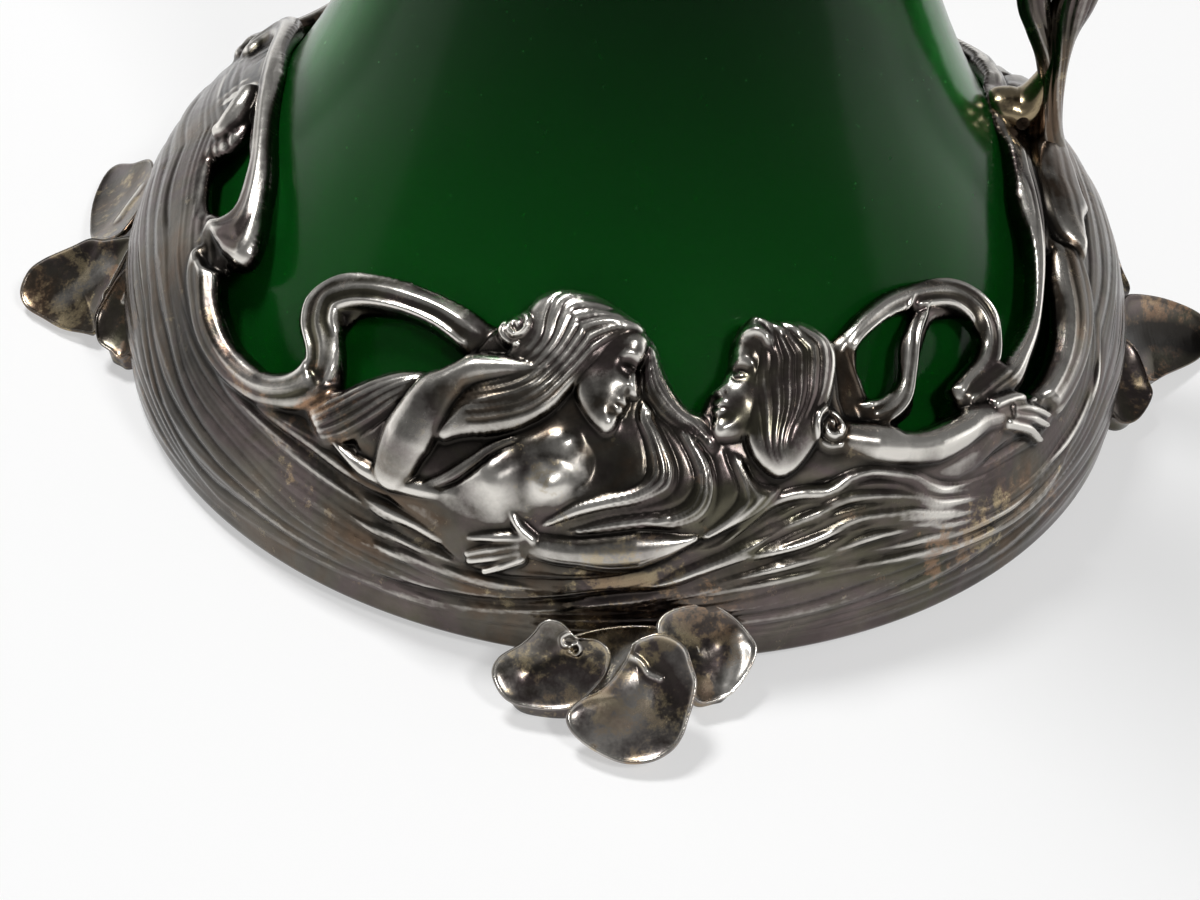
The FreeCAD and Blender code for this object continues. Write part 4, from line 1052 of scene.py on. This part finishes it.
def glass_depth(out, height, face_out, face_up):
    """How far in along the face the glass and its clearance lie."""
    depth = np.zeros_like(out)
    for _ in range(DEPTH_TRIES):
        gap = (out - face_out * depth) - glass_radius(height - face_up * depth) - GLASS_CLEARANCE
        depth += gap * DEPTH_STRIDE
    return depth


def sheet_quads(cover):
    """Four-sided faces of the sheet where the mount has metal."""
    spots = np.arange(cover.size).reshape(cover.shape)
    after = np.roll(np.arange(cover.shape[1]), -1)
    pairs = cover + cover[:, after]
    kept = pairs[:-1] + pairs[1:] > 0
    beside = spots[:, after]
    return np.stack([spots[:-1][kept], beside[:-1][kept], beside[1:][kept], spots[1:][kept]], 1)


# The furthest that a vertex is moved on to the outline, as a share of LENGTH_STEP
MOST_MOVED = 0.9


def moved_to_outline(azimuth, cover, used):
    """Azimuths in radians and lengths, with the vertices at an edge on the outline."""
    turn = np.radians(azimuth)
    radius = RELIEF.radius[:, None]
    apart = np.gradient(np.unwrap(turn))
    slope_across = np.gradient(cover, axis=1) / (apart[None] * radius)
    slope_up = np.gradient(cover, LENGTH_STEP, axis=0)
    steep = slope_across ** 2 + slope_up ** 2 + 1e-6
    edge = (used > 0) & (used < 4)
    edge[0] = False
    most = MOST_MOVED * LENGTH_STEP / np.sqrt(steep)
    push = np.where(edge, np.clip(cover / steep, -most, most), 0)
    spread = turn[None] - push * slope_across / radius
    lengths = RELIEF.length[:, None] - push * slope_up
    return spread, np.clip(lengths, 0, MERIDIAN.length[-1])


def closed_skin(outer, total):
    """Faces of an outer sheet, of an inner one numbered from total on, and of the walls
    between their edges."""
    inner = outer[:, ::-1] + total
    sides = np.concatenate([outer[:, [k, (k + 1) % 4]] for k in range(4)])
    keys = sides[:, 0].astype(np.int64) * total + sides[:, 1]
    twins = sides[:, 1].astype(np.int64) * total + sides[:, 0]
    one, two = sides[~np.isin(keys, twins)].T
    return np.vstack([outer, inner, np.column_stack([two, one, one + total, two + total])])


def make_mount(material):
    azimuth, (rise, cover, worn, gilt) = whole_mount()
    quads = sheet_quads(cover)
    used = np.bincount(quads.ravel(), minlength=cover.size)
    spread, lengths = moved_to_outline(azimuth, cover, used.reshape(cover.shape))
    out, height, face_out, face_up = (
        MERIDIAN.read(values, lengths)
        for values in (MERIDIAN.out, MERIDIAN.height, MERIDIAN.face_out, MERIDIAN.face_up)
    )
    depth = np.minimum(glass_depth(out, height, face_out, face_up), METAL_THICKNESS)
    kept = used > 0
    total = kept.sum()
    layers = []
    for lift in (rise, -depth):
        reach, level = out + face_out * lift, height + face_up * lift
        points = np.stack([np.cos(spread) * reach, np.sin(spread) * reach, level], -1)
        layers.append(points.reshape(-1, 3)[kept])
    faces = closed_skin((np.cumsum(kept) - 1)[quads], total)
    mesh = quad_mesh("mount_relief", np.vstack(layers), faces)
    inside = np.zeros(total)
    worn, gilt = (np.concatenate([field.ravel()[kept], inside]) for field in (worn, gilt))
    piece = place_piece(mesh, material, worn, gilt)
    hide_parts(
        "base_band", "handle_sheath",
        *[node for node in frame["nodes"] if node.startswith(("maiden_", "ribbon_", "strap_"))],
    )


# Lily-pad feet

# Each leaf: three pixels with the height of the leaf there, which set its plane, then the
# lift over its neighbour, its outline, and its creases with their height
FRONT_LEAVES = (
    (((495, 690, 4.6), (577, 706, 4.2), (560, 620, 13.0)), 0.45, (
        (521, 643), (534, 631), (541, 622), (550, 619), (561, 621), (570, 629), (578, 637),
        (588, 638), (600, 640), (609, 648), (611, 660), (606, 676), (592, 693), (577, 706),
        (559, 710), (537, 709), (514, 704), (500, 693), (492, 673), (499, 657),
    ), (
        (((575, 650), (566, 655), (550, 662), (530, 672)), 1.2, -0.35),
        (((578, 637), (570, 634), (562, 638), (563, 645), (570, 647)), 0.35, 0.6),
        (((570, 647), (577, 644), (580, 650), (576, 655), (569, 652)), 0.35, 0.6),
        (((575, 655), (590, 664), (600, 672)), 1.0, -0.2),
    )),
    (((626, 764, 2.2), (568, 727, 4.5), (659, 633, 14.0)), 0.0, (
        (630, 651), (634, 642), (646, 636), (659, 633), (674, 637), (686, 647), (692, 664),
        (697, 682), (694, 702), (689, 718), (683, 736), (672, 751), (652, 762), (626, 764),
        (603, 756), (581, 742), (568, 727), (567, 713), (580, 700), (600, 690), (616, 674),
    ), (
        (((632, 644), (630, 654), (640, 661), (648, 672), (660, 678)), 0.4, 0.5),
        (((648, 664), (662, 680), (668, 700)), 2.0, -0.35),
        (((600, 740), (640, 700), (665, 670)), 3.0, 0.15),
    )),
    (((703, 704, 3.5), (757, 655, 7.0), (692, 604, 13.5)), -0.4, (
        (657, 629), (661, 616), (674, 608), (692, 604), (710, 603), (723, 608), (737, 618),
        (748, 630), (757, 644), (757, 655), (750, 671), (739, 687), (726, 698), (703, 704),
        (690, 692), (678, 670), (664, 650),
    ), (
        (((680, 660), (705, 650), (728, 640)), 2.2, -0.4),
        (((738, 640), (742, 660), (732, 688)), 1.4, 0.5),
    )),
    # The stems' pad between the leaves
    (((577, 706, 3.2), (700, 700, 2.4), (640, 640, 9.5)), -0.6, (
        (556, 650), (585, 632), (640, 625), (690, 635), (704, 665), (694, 694), (655, 706),
        (606, 706), (572, 692),
    ), (
        (((600, 705), (625, 665), (655, 640)), 1.2, 0.5),
        (((640, 700), (660, 670), (672, 645)), 1.2, 0.5),
    )),
)
LEFT_LEAVES = (
    (((110, 170, 4.0), (91, 225, 4.5), (148, 185, 13.0)), -0.2, (
        (151, 160), (133, 163), (118, 164), (107, 172), (98, 188), (92, 206), (90, 226),
        (92, 239), (105, 240), (117, 236), (126, 228), (140, 208), (152, 185),
    ), (
        (((115, 215), (125, 200), (138, 185)), 1.2, 0.4),
    )),
    (((22, 292, 3.0), (96, 332, 3.0), (130, 245, 13.0)), 0.2, (
        (91, 239), (73, 247), (44, 260), (29, 272), (21, 292), (27, 308), (44, 319),
        (62, 329), (80, 333), (96, 334), (97, 318), (104, 303), (124, 268), (136, 239),
        (120, 238), (105, 240),
    ), (
        (((60, 300), (80, 285), (105, 262)), 2.4, 0.25),
        (((106, 297), (120, 272), (134, 245)), 0.5, 0.6),
    )),
    (((120, 359, 4.0), (98, 325, 7.0), (150, 275, 14.0)), 0.0, (
        (144, 261), (158, 279), (153, 308), (149, 330), (150, 345), (133, 352), (120, 359),
        (111, 352), (98, 341), (96, 319), (104, 301), (120, 275), (135, 262),
    ), (
        (((122, 300), (128, 290), (135, 300)), 0.5, 0.4),
    )),
)
RIGHT_LEAVES = (
    (((1100, 232, 13.0), (1130, 288, 6.0), (1100, 285, 12.0)), -0.2, (
        (1099, 229), (1113, 244), (1122, 269), (1130, 289), (1122, 300), (1108, 290),
        (1098, 265), (1094, 240),
    ), ()),
    (((1213, 335, 3.0), (1166, 375, 3.0), (1133, 300, 13.0)), 0.0, (
        (1133, 294), (1166, 299), (1200, 314), (1213, 335), (1200, 358), (1166, 375),
        (1152, 381), (1140, 370), (1125, 345), (1118, 320), (1122, 300),
    ), (
        (((1135, 335), (1165, 332), (1195, 338)), 3.5, -0.5),
    )),
    (((1122, 424, 3.5), (1100, 350, 11.0), (1148, 385, 6.0)), 0.3, (
        (1102, 333), (1097, 356), (1101, 389), (1108, 411), (1122, 424), (1138, 419),
        (1151, 397), (1147, 381), (1135, 350), (1118, 335),
    ), ()),
)
# Each foot: the node that it replaces, its leaves, their turn round the jug in degrees
# and how much lighter (above 0) or darker (below 0) their colour is painted, as painted light and
# shade
FEET = (
    ("foot_front", FRONT_LEAVES, 0, 0.14), ("foot_back", FRONT_LEAVES, 180, 0.14),
    ("foot_spout_side", LEFT_LEAVES, 0, 0.0), ("foot_handle_side", RIGHT_LEAVES, 0, -0.05),
)
# Share of the way out from a leaf's middle, and height over its plane
LEAF_FACE = (
    (0.02, -0.95), (0.25, -0.95), (0.5, -0.75), (0.7, -0.45), (0.85, -0.15), (0.925, 0.1),
    (0.955, 0.3), (0.98, 0.3), (1.0, 0.1), (0.995, -0.3), (0.97, -0.7),
)
FACE_FINER, RIM_FINER = 7, 10
WALL_STEPS = (0.1, 0.25, 0.45, 0.65, 0.85, 1.0)
# How far the wall leans in, and the painted shade on the walls under the rim
WALL_LEAN, WALL_PAINTED_SHADE = 0.3, -0.05
# The rim's painted highlight: how bright, its share of the way out and its width
RIM_SHINE, RIM_PLACE, RIM_WIDTH = 0.18, 0.955, 0.03
CREASE_FINER = 8
# Where the leaves are worn golden: a pixel, radius in millimetres, amount
LEAF_GILT, LEAF_HEIGHT = 0.38, 7.0
LEAF_GILT_SPOTS = (
    ((592, 655), 4.5, 0.6), ((610, 708), 4.5, 0.6), ((636, 742), 2.8, 0.6),
    ((660, 668), 4.5, 0.5), ((690, 625), 6.5, 0.65), ((700, 672), 4.0, 0.5),
    ((70, 290), 8.0, 0.3), ((120, 215), 5.0, 0.4), ((1165, 330), 8.0, 0.25),
)


def from_pixel(x, y, height):
    """The spot that a pixel shows at a height over the floor."""
    away = rays([(x, y)])[0]
    return EYE + away * (height - EYE[2]) / away[2]


def on_plane(pixels, spot, face):
    """Where the pixels' rays meet the plane through a spot."""
    away = rays(pixels)
    return EYE + away * ((spot - EYE) @ face / (away @ face))[:, None]


def leaf_points(anchors, lift, outline, creases):
    """A dished pad with a rolled rim, and its wall down to the floor."""
    one, two, three = (from_pixel(*anchor) for anchor in anchors)
    face = np.cross(two - one, three - one)
    face *= np.sign(face[2]) / np.linalg.norm(face)
    rim = smooth_line(on_plane(outline, one, face), RIM_FINER, True) + face * lift
    middle = rim.mean(0)
    profile = smooth_line(LEAF_FACE, FACE_FINER)
    flat = middle + (rim - middle) * profile[:, None, :1]
    height = np.broadcast_to(profile[:, 1:], flat.shape[:2]).copy()
    for pixels, width, rise in creases:
        line = smooth_line(on_plane(pixels, one, face) + face * lift, CREASE_FINER)
        away = np.min(np.linalg.norm(flat[:, :, None] - line[None, None], axis=3), axis=2)
        height += rise * np.exp(-(away / width) ** 2)
    top = flat + face * height[..., None]
    # How worn each point is: darker in sunk creases, lighter on raised ones, with a painted
    # highlight along the rim
    rim_near = np.exp(-((profile[:, :1] - RIM_PLACE) / RIM_WIDTH) ** 2)
    worn = height - profile[:, 1:] + RIM_SHINE * rim_near
    inward = (middle - rim) * (1, 1, 0)
    rings = [*top]
    for share in WALL_STEPS:
        ring = top[-1] + inward * WALL_LEAN * math.sqrt(share)
        ring[:, 2] = top[-1][:, 2] * (1 - share)
        rings.append(ring)
    # The walls under the rim get painted shade
    below = np.full((len(WALL_STEPS), len(rim)), WALL_PAINTED_SHADE)
    return rings, np.vstack([worn, below])


def closed_rings(rings, values):
    """Points, faces and a value for each point of stacked rings, closed by a point at
    each end."""
    count = len(rings[0])
    start = np.arange(count)
    after = np.roll(start, -1)
    faces = []
    for ring in range(len(rings) - 1):
        low, high = ring * count, (ring + 1) * count
        faces += np.stack([low + start, high + start, high + after, low + after], 1).tolist()
    last = (len(rings) - 1) * count
    first_cap, last_cap = len(rings) * count, len(rings) * count + 1
    faces += [[first_cap, a, b] for a, b in zip(start.tolist(), after.tolist())]
    faces += [[last_cap, last + b, last + a] for a, b in zip(start.tolist(), after.tolist())]
    points = np.vstack([*rings, rings[0].mean(0), rings[-1].mean(0)])
    values = np.concatenate([np.ravel(values), [values[0].mean(), values[-1].mean()]])
    return points, faces, values


def add_piece(name, parts, material, gilt):
    """A piece from closed parts: points in millimetres, faces and how worn each is, with the
    feet's painted light included.
    """
    points, faces, worn, total = [], [], [], 0
    for spots, sides, values in parts:
        points.append(spots * MM)
        worn.append(values)
        faces += [[corner + total for corner in side] for side in sides]
        total += len(spots)
    mesh = bpy.data.meshes.new(name)
    mesh.from_pydata(np.vstack(points).tolist(), [], faces)
    work = bmesh.new()
    work.from_mesh(mesh)
    bmesh.ops.recalc_face_normals(work, faces=work.faces)
    work.to_mesh(mesh)
    work.free()
    mesh.polygons.foreach_set("use_smooth", np.ones(len(mesh.polygons), bool))
    gilt = np.broadcast_to(gilt, len(mesh.vertices))
    return place_piece(mesh, material, np.concatenate(worn), gilt)


def leaf_gilt(points):
    """How golden a leaf is at its points."""
    gilt = np.full(len(points), LEAF_GILT)
    for pixel, radius, amount in LEAF_GILT_SPOTS:
        away = np.linalg.norm((points - from_pixel(*pixel, LEAF_HEIGHT))[:, :2], axis=1)
        gilt += amount * ease(1 - away / radius)
    return gilt


def make_feet(material):
    for name, leaves, turn, tone_shift in FEET:
        about = turned_about_z(math.radians(turn))
        parts, gilt = [], []
        for leaf in leaves:
            points, faces, worn = closed_rings(*leaf_points(*leaf))
            gilt.append(leaf_gilt(points))
            # The foot's painted light lightens or darkens all its leaves
            parts.append((points @ about.T, faces, worn + tone_shift))
        piece = add_piece(name + "_leaves", parts, material, np.concatenate(gilt))
        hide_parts(name)


# Handle

# Out, up, half width in the handle's plane and half width across it
STEM = (
    (73.0, 27.5, 2.6, 4.4), (70.6, 33.0, 3.3, 5.0), (68.5, 38.2, 3.4, 5.2),
    (66.9, 42.6, 3.5, 4.8), (66.7, 47.3, 2.7, 4.1), (66.6, 52.0, 2.3, 3.7),
    (66.8, 57.0, 2.0, 3.5), (66.9, 62.0, 2.5, 3.8), (67.7, 67.0, 3.3, 4.2),
    (70.1, 76.0, 3.4, 4.2), (75.4, 90.0, 3.2, 3.7), (81.9, 111.3, 3.1, 3.4),
    (89.0, 141.2, 3.0, 3.3), (92.0, 171.7, 3.0, 3.3), (89.5, 204.2, 3.0, 3.3),
    (79.1, 238.6, 3.0, 3.3), (62.1, 266.4, 3.1, 3.4), (42.0, 286.2, 3.4, 3.6),
    (22.6, 295.2, 3.6, 3.8),
)
TENDRIL = (
    (66.8, 47.5, 1.0, 1.8), (65.9, 53.0, 1.4, 2.2), (64.6, 57.5, 1.6, 2.4),
    (62.9, 62.0, 2.1, 2.5), (61.3, 67.0, 2.7, 2.6), (60.4, 76.0, 2.6, 2.4),
    (62.4, 92.0, 2.3, 2.2), (67.8, 109.0, 2.1, 2.1), (75.0, 123.5, 2.0, 2.0),
    (82.3, 134.7, 1.8, 1.8), (86.5, 141.0, 1.0, 1.2),
)
LUG = (
    (57.5, 47.4, 1.2, 2.2), (58.4, 47.6, 2.5, 3.5), (60.2, 47.2, 3.1, 4.1),
    (62.2, 47.0, 3.1, 4.2), (64.1, 48.8, 2.5, 3.6), (65.3, 52.4, 1.3, 2.6),
    (65.9, 55.6, 0.6, 1.4),
)
BAR_FINER, BAR_SIDES, BAR_WORN = 10, 96, 0.5


def ribbed_bar(stations, ribs, depth, twist):
    """A bar along a curve in the handle's plane, with strands along its length."""
    stations = smooth_line(stations, BAR_FINER)
    ahead = np.gradient(stations[:, :2], axis=0)
    ahead /= np.linalg.norm(ahead, axis=1)[:, None]
    share = np.arange(BAR_SIDES) / BAR_SIDES
    angle = 2 * math.pi * share
    rings, values = [], []
    for index, ((out, up, half, deep), (run, climb)) in enumerate(zip(stations, ahead)):
        turned = share + twist * index / len(stations)
        waves = strand_waves(ribs * turned) - STRAND_MIDDLE if ribs else np.zeros(BAR_SIDES)
        inward = np.cos(angle) * half * (1 + depth * waves)
        beside = np.sin(angle) * deep * (1 + depth * waves)
        rings.append(np.column_stack([out + climb * inward, beside, up - run * inward]))
        values.append(BAR_WORN * waves)
    return closed_rings(rings, np.array(values))


# The node that each bar replaces, its stations, ribs, their depth, twist and gilt
BARS = (
    ("handle_stem", STEM, 7, 0.08, 1.0, 0.1), ("handle_tendril", TENDRIL, 5, 0.08, 0.6, 0.1),
    ("handle_lug", LUG, 0, 0.0, 0.0, 1.0),
)


def make_handle(material):
    for name, stations, ribs, depth, twist, gilt in BARS:
        bar = ribbed_bar(stations, ribs, depth, twist)
        piece = add_piece(name + "_cast", [bar], material, gilt)
        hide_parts(name)


# Materials


class Nodes:
    """Short calls for the nodes of a material or of the world."""

    def __init__(self, block):
        block.use_nodes = True
        self.block = block
        self.tree = block.node_tree

    def fill(self, socket, value):
        if isinstance(value, bpy.types.NodeSocket):
            self.tree.links.new(value, socket)
        else:
            socket.default_value = value

    def put(self, node, **inputs):
        for key, value in inputs.items():
            name = key.replace("_", " ").lower()
            socket = next(s for s in node.inputs if s.name.lower() == name and s.enabled)
            self.fill(socket, value)

    def add(self, kind, settings=(), **inputs):
        node = self.tree.nodes.new("ShaderNode" + kind)
        for key, value in dict(settings).items():
            setattr(node, key, value)
        self.put(node, **inputs)
        return node

    def calc(self, operation, one, two, kind="Math"):
        node = self.add(kind, {"operation": operation})
        self.fill(node.inputs[0], one)
        self.fill(node.inputs[1], two)
        return node.outputs[0]

    def noise(self, scale, detail, rough, stretch=None, warp=0.0):
        place = self.add("TexCoord").outputs["Object"]
        if stretch:
            place = self.add("Mapping", Vector=place, Scale=stretch).outputs[0]
        node = self.add("TexNoise", Vector=place, Scale=scale, Detail=detail, Roughness=rough,
                        Distortion=warp)
        return node.outputs[0]

    def ramp(self, value, *stops):
        """A colour, or a grey from a number, between the stops' places."""
        node = self.add("ValToRGB", Fac=value)
        marks = node.color_ramp.elements
        while len(marks) < len(stops):
            marks.new(0.5)
        for mark, (place, colour) in zip(marks, stops):
            mark.position = place
            mark.color = (*(colour if isinstance(colour, tuple) else (colour,) * 3), 1)
        return node.outputs[0]

    def span(self, value, low, high, to_low=0.0, to_high=1.0):
        node = self.add("MapRange", Value=value, From_Min=low, From_Max=high, To_Min=to_low,
                        To_Max=to_high)
        return node.outputs[0]

    def mix(self, share, one, two):
        """From one colour to another, each a socket or three numbers."""
        one, two = ((*part, 1) if isinstance(part, tuple) else part for part in (one, two))
        node = self.add("Mix", {"data_type": "RGBA"}, Factor=share, A=one, B=two)
        return node.outputs["Result"]

    def attribute(self, name):
        return self.add("Attribute", {"attribute_name": name}).outputs["Fac"]

    def bump(self, height, strength, distance):
        return self.add("Bump", Height=height, Strength=strength, Distance=distance).outputs[0]

    def seen(self):
        """1 where a ray comes from the camera, a mirror-like surface or glass."""
        path = self.add("LightPath")
        most = path.outputs["Is Camera Ray"]
        for kind in ("Is Glossy Ray", "Is Transmission Ray"):
            most = self.calc("MAXIMUM", most, path.outputs[kind])
        return most

    def finish(self, **inputs):
        self.put(self.tree.nodes["Principled BSDF"], **inputs)
        return self.block


def material_nodes(name):
    return Nodes(bpy.data.materials.new(name))


# Tarnish by its colour, from the brownest to the greenest, and its places on a noise
TARNISH = (
    (0.38, (0.122, 0.086, 0.06)), (0.48, (0.112, 0.101, 0.084)), (0.56, (0.12, 0.096, 0.093)),
    (0.66, (0.108, 0.1, 0.072)),
)
# Noises of the silver and of the other looks: scale, detail and roughness
CLOUD, SPOTS, PATCHES, MOTTLE = (32, 5, 0.6), (260, 6, 0.75), (24, 3, 0.5), (70, 5, 0.65)
SCRATCHES, SCRATCH_STRETCH = (900, 3, 0.6), (1, 1, 0.15)
DUST, GRAINS = (900, 2, 0.5), (300, 5, 0.6)
CLOUD_WARP = 0.6
# Strength and depth of the unevenness
SCRATCH_DEPTH, GRAIN_DEPTH = (0.1, 0.0002), (0.3, 0.0005)
# Spans: the range of a value, then what it is turned into where that isn't 0 to 1
PATCH_RUB, SPOT_RUB, MOTTLED = (0.6, 0.72), (0.48, 0.58), (0.3, 0.7, 0.55, 1.25)
# On the relief, by how worn it is, painted light and shade included, and how golden it is
WORN_SPECKLE, WORN_BRIGHT, WORN_HOLLOW = (0.3, 0.7, -0.06, 0.06), (0.1, 0.42), (0.0, -0.4)
GILT_PATCH, GILT_SPECKLE = (0.6, 0.68, 0.0, 0.22), (0.35, 0.65, -0.75, 0.4)
GILT_SHOWN = (0.3, 0.6, 0.0, 0.6)
# On the plain pieces, by the spots alone
PLAIN_BRIGHT, PLAIN_HOLLOW = (0.52, 0.8, 0.02, 0.35), (0.5, 0.2, 0.0, 0.4)
PLAIN_GILT, PLAIN_PATCH = (0.5, 0.6, 0.0, 0.6), (0.56, 0.66)
GILT_TO_COPPER, SHINE, DUST_SHINE = (0.52, 0.62), (0.3, 0.75, 0.16, 0.32), (0.74, 0.8, 0.16, 0.45)
GLASS_BENDING, GLASS_CLEARNESS = 1.2, 0.85
FILL_DARKER, FILL_DARK_AT, FILL_LIGHT_AT, FILL_ROUGH = 0.7, 0.3, 0.7, 0.8
FILLS = {"plaster": (0.1, 0.11, 0.09), "cement": (0.3, 0.29, 0.26)}
COPPER = (0.33, 0.2, 0.125)
GILT = (0.47, 0.38, 0.23)
# Bright silver where the plate is worn through, which also shows the painted highlights
BRIGHT = (0.74, 0.71, 0.66)
# Black tarnish in the hollows, which also shows the painted shade
SOOT_AND_PAINTED_SHADE = (0.018, 0.016, 0.014)
GREEN_LOW, GREEN_HIGH = (0.02, 0.33, 0.042), (0.002, 0.045, 0.008)
# Heights in metres between which the glass grows darker
GREEN_FADE = (0.04, 0.1)


def silver(name, relief=False):
    """Tarnished silver plate: dark and coloured in the hollows, bright on the ridges."""
    nodes = material_nodes(name)
    cloud = nodes.noise(*CLOUD, warp=CLOUD_WARP)
    spots = nodes.noise(*SPOTS)
    patches = nodes.noise(*PATCHES)
    tone_shift = nodes.calc("MULTIPLY", nodes.span(patches, *PATCH_RUB), nodes.span(spots, *SPOT_RUB))
    tone = nodes.mix(tone_shift, nodes.ramp(cloud, *TARNISH), COPPER)
    mottle = nodes.span(nodes.noise(*MOTTLE), *MOTTLED)
    tone = nodes.calc("MULTIPLY", tone, mottle, "VectorMath")
    if relief:
        # The worn attribute brings the painted highlights and painted shade of the mount and the
        # feet
        wear = nodes.attribute("worn")
        wear = nodes.calc("ADD", wear, nodes.span(spots, *WORN_SPECKLE))
        bright = nodes.span(wear, *WORN_BRIGHT)
        hollow = nodes.span(wear, *WORN_HOLLOW)
        gilt = nodes.attribute("gilt")
        gilt = nodes.calc("MAXIMUM", gilt, nodes.span(patches, *GILT_PATCH))
        gilt = nodes.calc("ADD", gilt, nodes.span(spots, *GILT_SPECKLE))
        gilt = nodes.span(gilt, *GILT_SHOWN)
    else:
        bright = nodes.span(spots, *PLAIN_BRIGHT)
        hollow = nodes.span(spots, *PLAIN_HOLLOW)
        gilt = nodes.span(spots, *PLAIN_GILT)
        gilt = nodes.calc("MULTIPLY", nodes.span(patches, *PLAIN_PATCH), gilt)
    tone = nodes.mix(bright, tone, BRIGHT)
    tone = nodes.mix(gilt, tone, nodes.mix(nodes.span(cloud, *GILT_TO_COPPER), GILT, COPPER))
    tone = nodes.mix(hollow, tone, SOOT_AND_PAINTED_SHADE)
    scratches = nodes.bump(nodes.noise(*SCRATCHES, SCRATCH_STRETCH), *SCRATCH_DEPTH)
    rough = nodes.span(spots, *SHINE)
    return nodes.finish(Base_Color=tone, Metallic=1.0, Roughness=rough, Normal=scratches)


def green_glass():
    """Bottle glass, deepest in colour towards the neck, with a little dust."""
    nodes = material_nodes("bottle_green_glass")
    place = nodes.add("TexCoord").outputs["Object"]
    height = nodes.add("SeparateXYZ", Vector=place).outputs["Z"]
    green = nodes.mix(nodes.span(height, *GREEN_FADE), GREEN_LOW, GREEN_HIGH)
    dust = nodes.span(nodes.noise(*DUST), *DUST_SHINE)
    return nodes.finish(
        Base_Color=green, Roughness=dust, IOR=GLASS_BENDING, Transmission_Weight=GLASS_CLEARNESS,
    )


def rough_fill(name, shade):
    nodes = material_nodes(name)
    grain = nodes.noise(*GRAINS)
    dark = tuple(FILL_DARKER * part for part in shade)
    colour = nodes.ramp(grain, (FILL_DARK_AT, dark), (FILL_LIGHT_AT, shade))
    bumps = nodes.bump(grain, *GRAIN_DEPTH)
    return nodes.finish(Base_Color=colour, Roughness=FILL_ROUGH, Normal=bumps)


def paint_nodes():
    looks = {
        "silver_plate": silver("plated_silver"), "green_glass": green_glass(),
        **{slot: rough_fill("set_" + slot, shade) for slot, shade in FILLS.items()},
    }
    for part in frame["record"]["subparts"]:
        mesh = frame["nodes"][part["node"]].data
        mesh.materials.clear()
        mesh.materials.append(looks[part["material_slot"]])


# Floor, light and backdrop

FLOOR_SIZE = 12.0
FLOOR_SHADE = 0.5
FLOOR_GLOW = 0.475
# Brightness of the surroundings by the upward share of the direction: white at the
# horizon and grey overhead
SKY = ((0.0, 1.0), (0.1, 0.85), (0.27, 0.32), (0.5, 0.2), (1.0, 0.16))
AMBIENT = 0.5
# Each lamp's place, size and power
LAMPS = {
    "lamp_left": ((-1.0, 0.3, 0.28), (1.0, 0.5), 1.0),
    "lamp_right": ((1.05, 0.12, 0.24), (0.9, 0.46), 1.25),
    "lamp_top": ((-0.35, 0.25, 1.1), (0.26, 0.26), 9.5),
    "lamp_front": ((0.45, -0.75, 0.95), (0.2, 0.2), 5.0),
}
LAMP_AIM = (0, 0, 0.04)


def make_floor():
    half = FLOOR_SIZE / 2
    mesh = bpy.data.meshes.new("floor")
    corners = [(-half, -half, 0), (half, -half, 0), (half, half, 0), (-half, half, 0)]
    mesh.from_pydata(corners, [], [(0, 1, 2, 3)])
    floor = bpy.data.objects.new("floor", mesh)
    bpy.context.scene.collection.objects.link(floor)
    nodes = material_nodes("pale_floor")
    pale = (FLOOR_SHADE, FLOOR_SHADE, FLOOR_SHADE, 1)
    mesh.materials.append(nodes.finish(Base_Color=pale, Roughness=0.9, Specular_IOR_Level=0.0))
    glow = nodes.add("Emission", Strength=nodes.calc("MULTIPLY", nodes.seen(), FLOOR_GLOW))
    both = nodes.add("AddShader")
    nodes.fill(both.inputs[0], nodes.tree.nodes["Principled BSDF"].outputs[0])
    nodes.fill(both.inputs[1], glow.outputs[0])
    nodes.put(nodes.tree.nodes["Material Output"], Surface=both.outputs[0])


def make_world():
    world = bpy.data.worlds.new("studio")
    nodes = Nodes(world)
    place = nodes.add("TexCoord").outputs["Generated"]
    sky = nodes.ramp(nodes.add("SeparateXYZ", Vector=place).outputs["Z"], *SKY)
    strength = nodes.span(nodes.seen(), 0.0, 1.0, AMBIENT)
    nodes.put(nodes.tree.nodes["Background"], Color=sky, Strength=strength)
    bpy.context.scene.world = world


def make_lamps():
    for name, (place, size, power) in LAMPS.items():
        data = bpy.data.lights.new(name, "AREA")
        data.shape = "RECTANGLE"
        data.size, data.size_y = size
        data.energy = power
        lamp = bpy.data.objects.new(name, data)
        lamp.location = place
        aim = Vector(LAMP_AIM) - Vector(place)
        lamp.rotation_euler = aim.to_track_quat("-Z", "Y").to_euler()
        bpy.context.scene.collection.objects.link(lamp)


make_camera()
make_floor()
make_world()
make_lamps()
paint_nodes()
lay_relief()
make_mount(silver("relief_silver", relief=True))
worn_silver = silver("worn_silver", relief=True)
make_feet(worn_silver)
make_handle(worn_silver)

scene = bpy.context.scene
scene.view_settings.view_transform = "Standard"
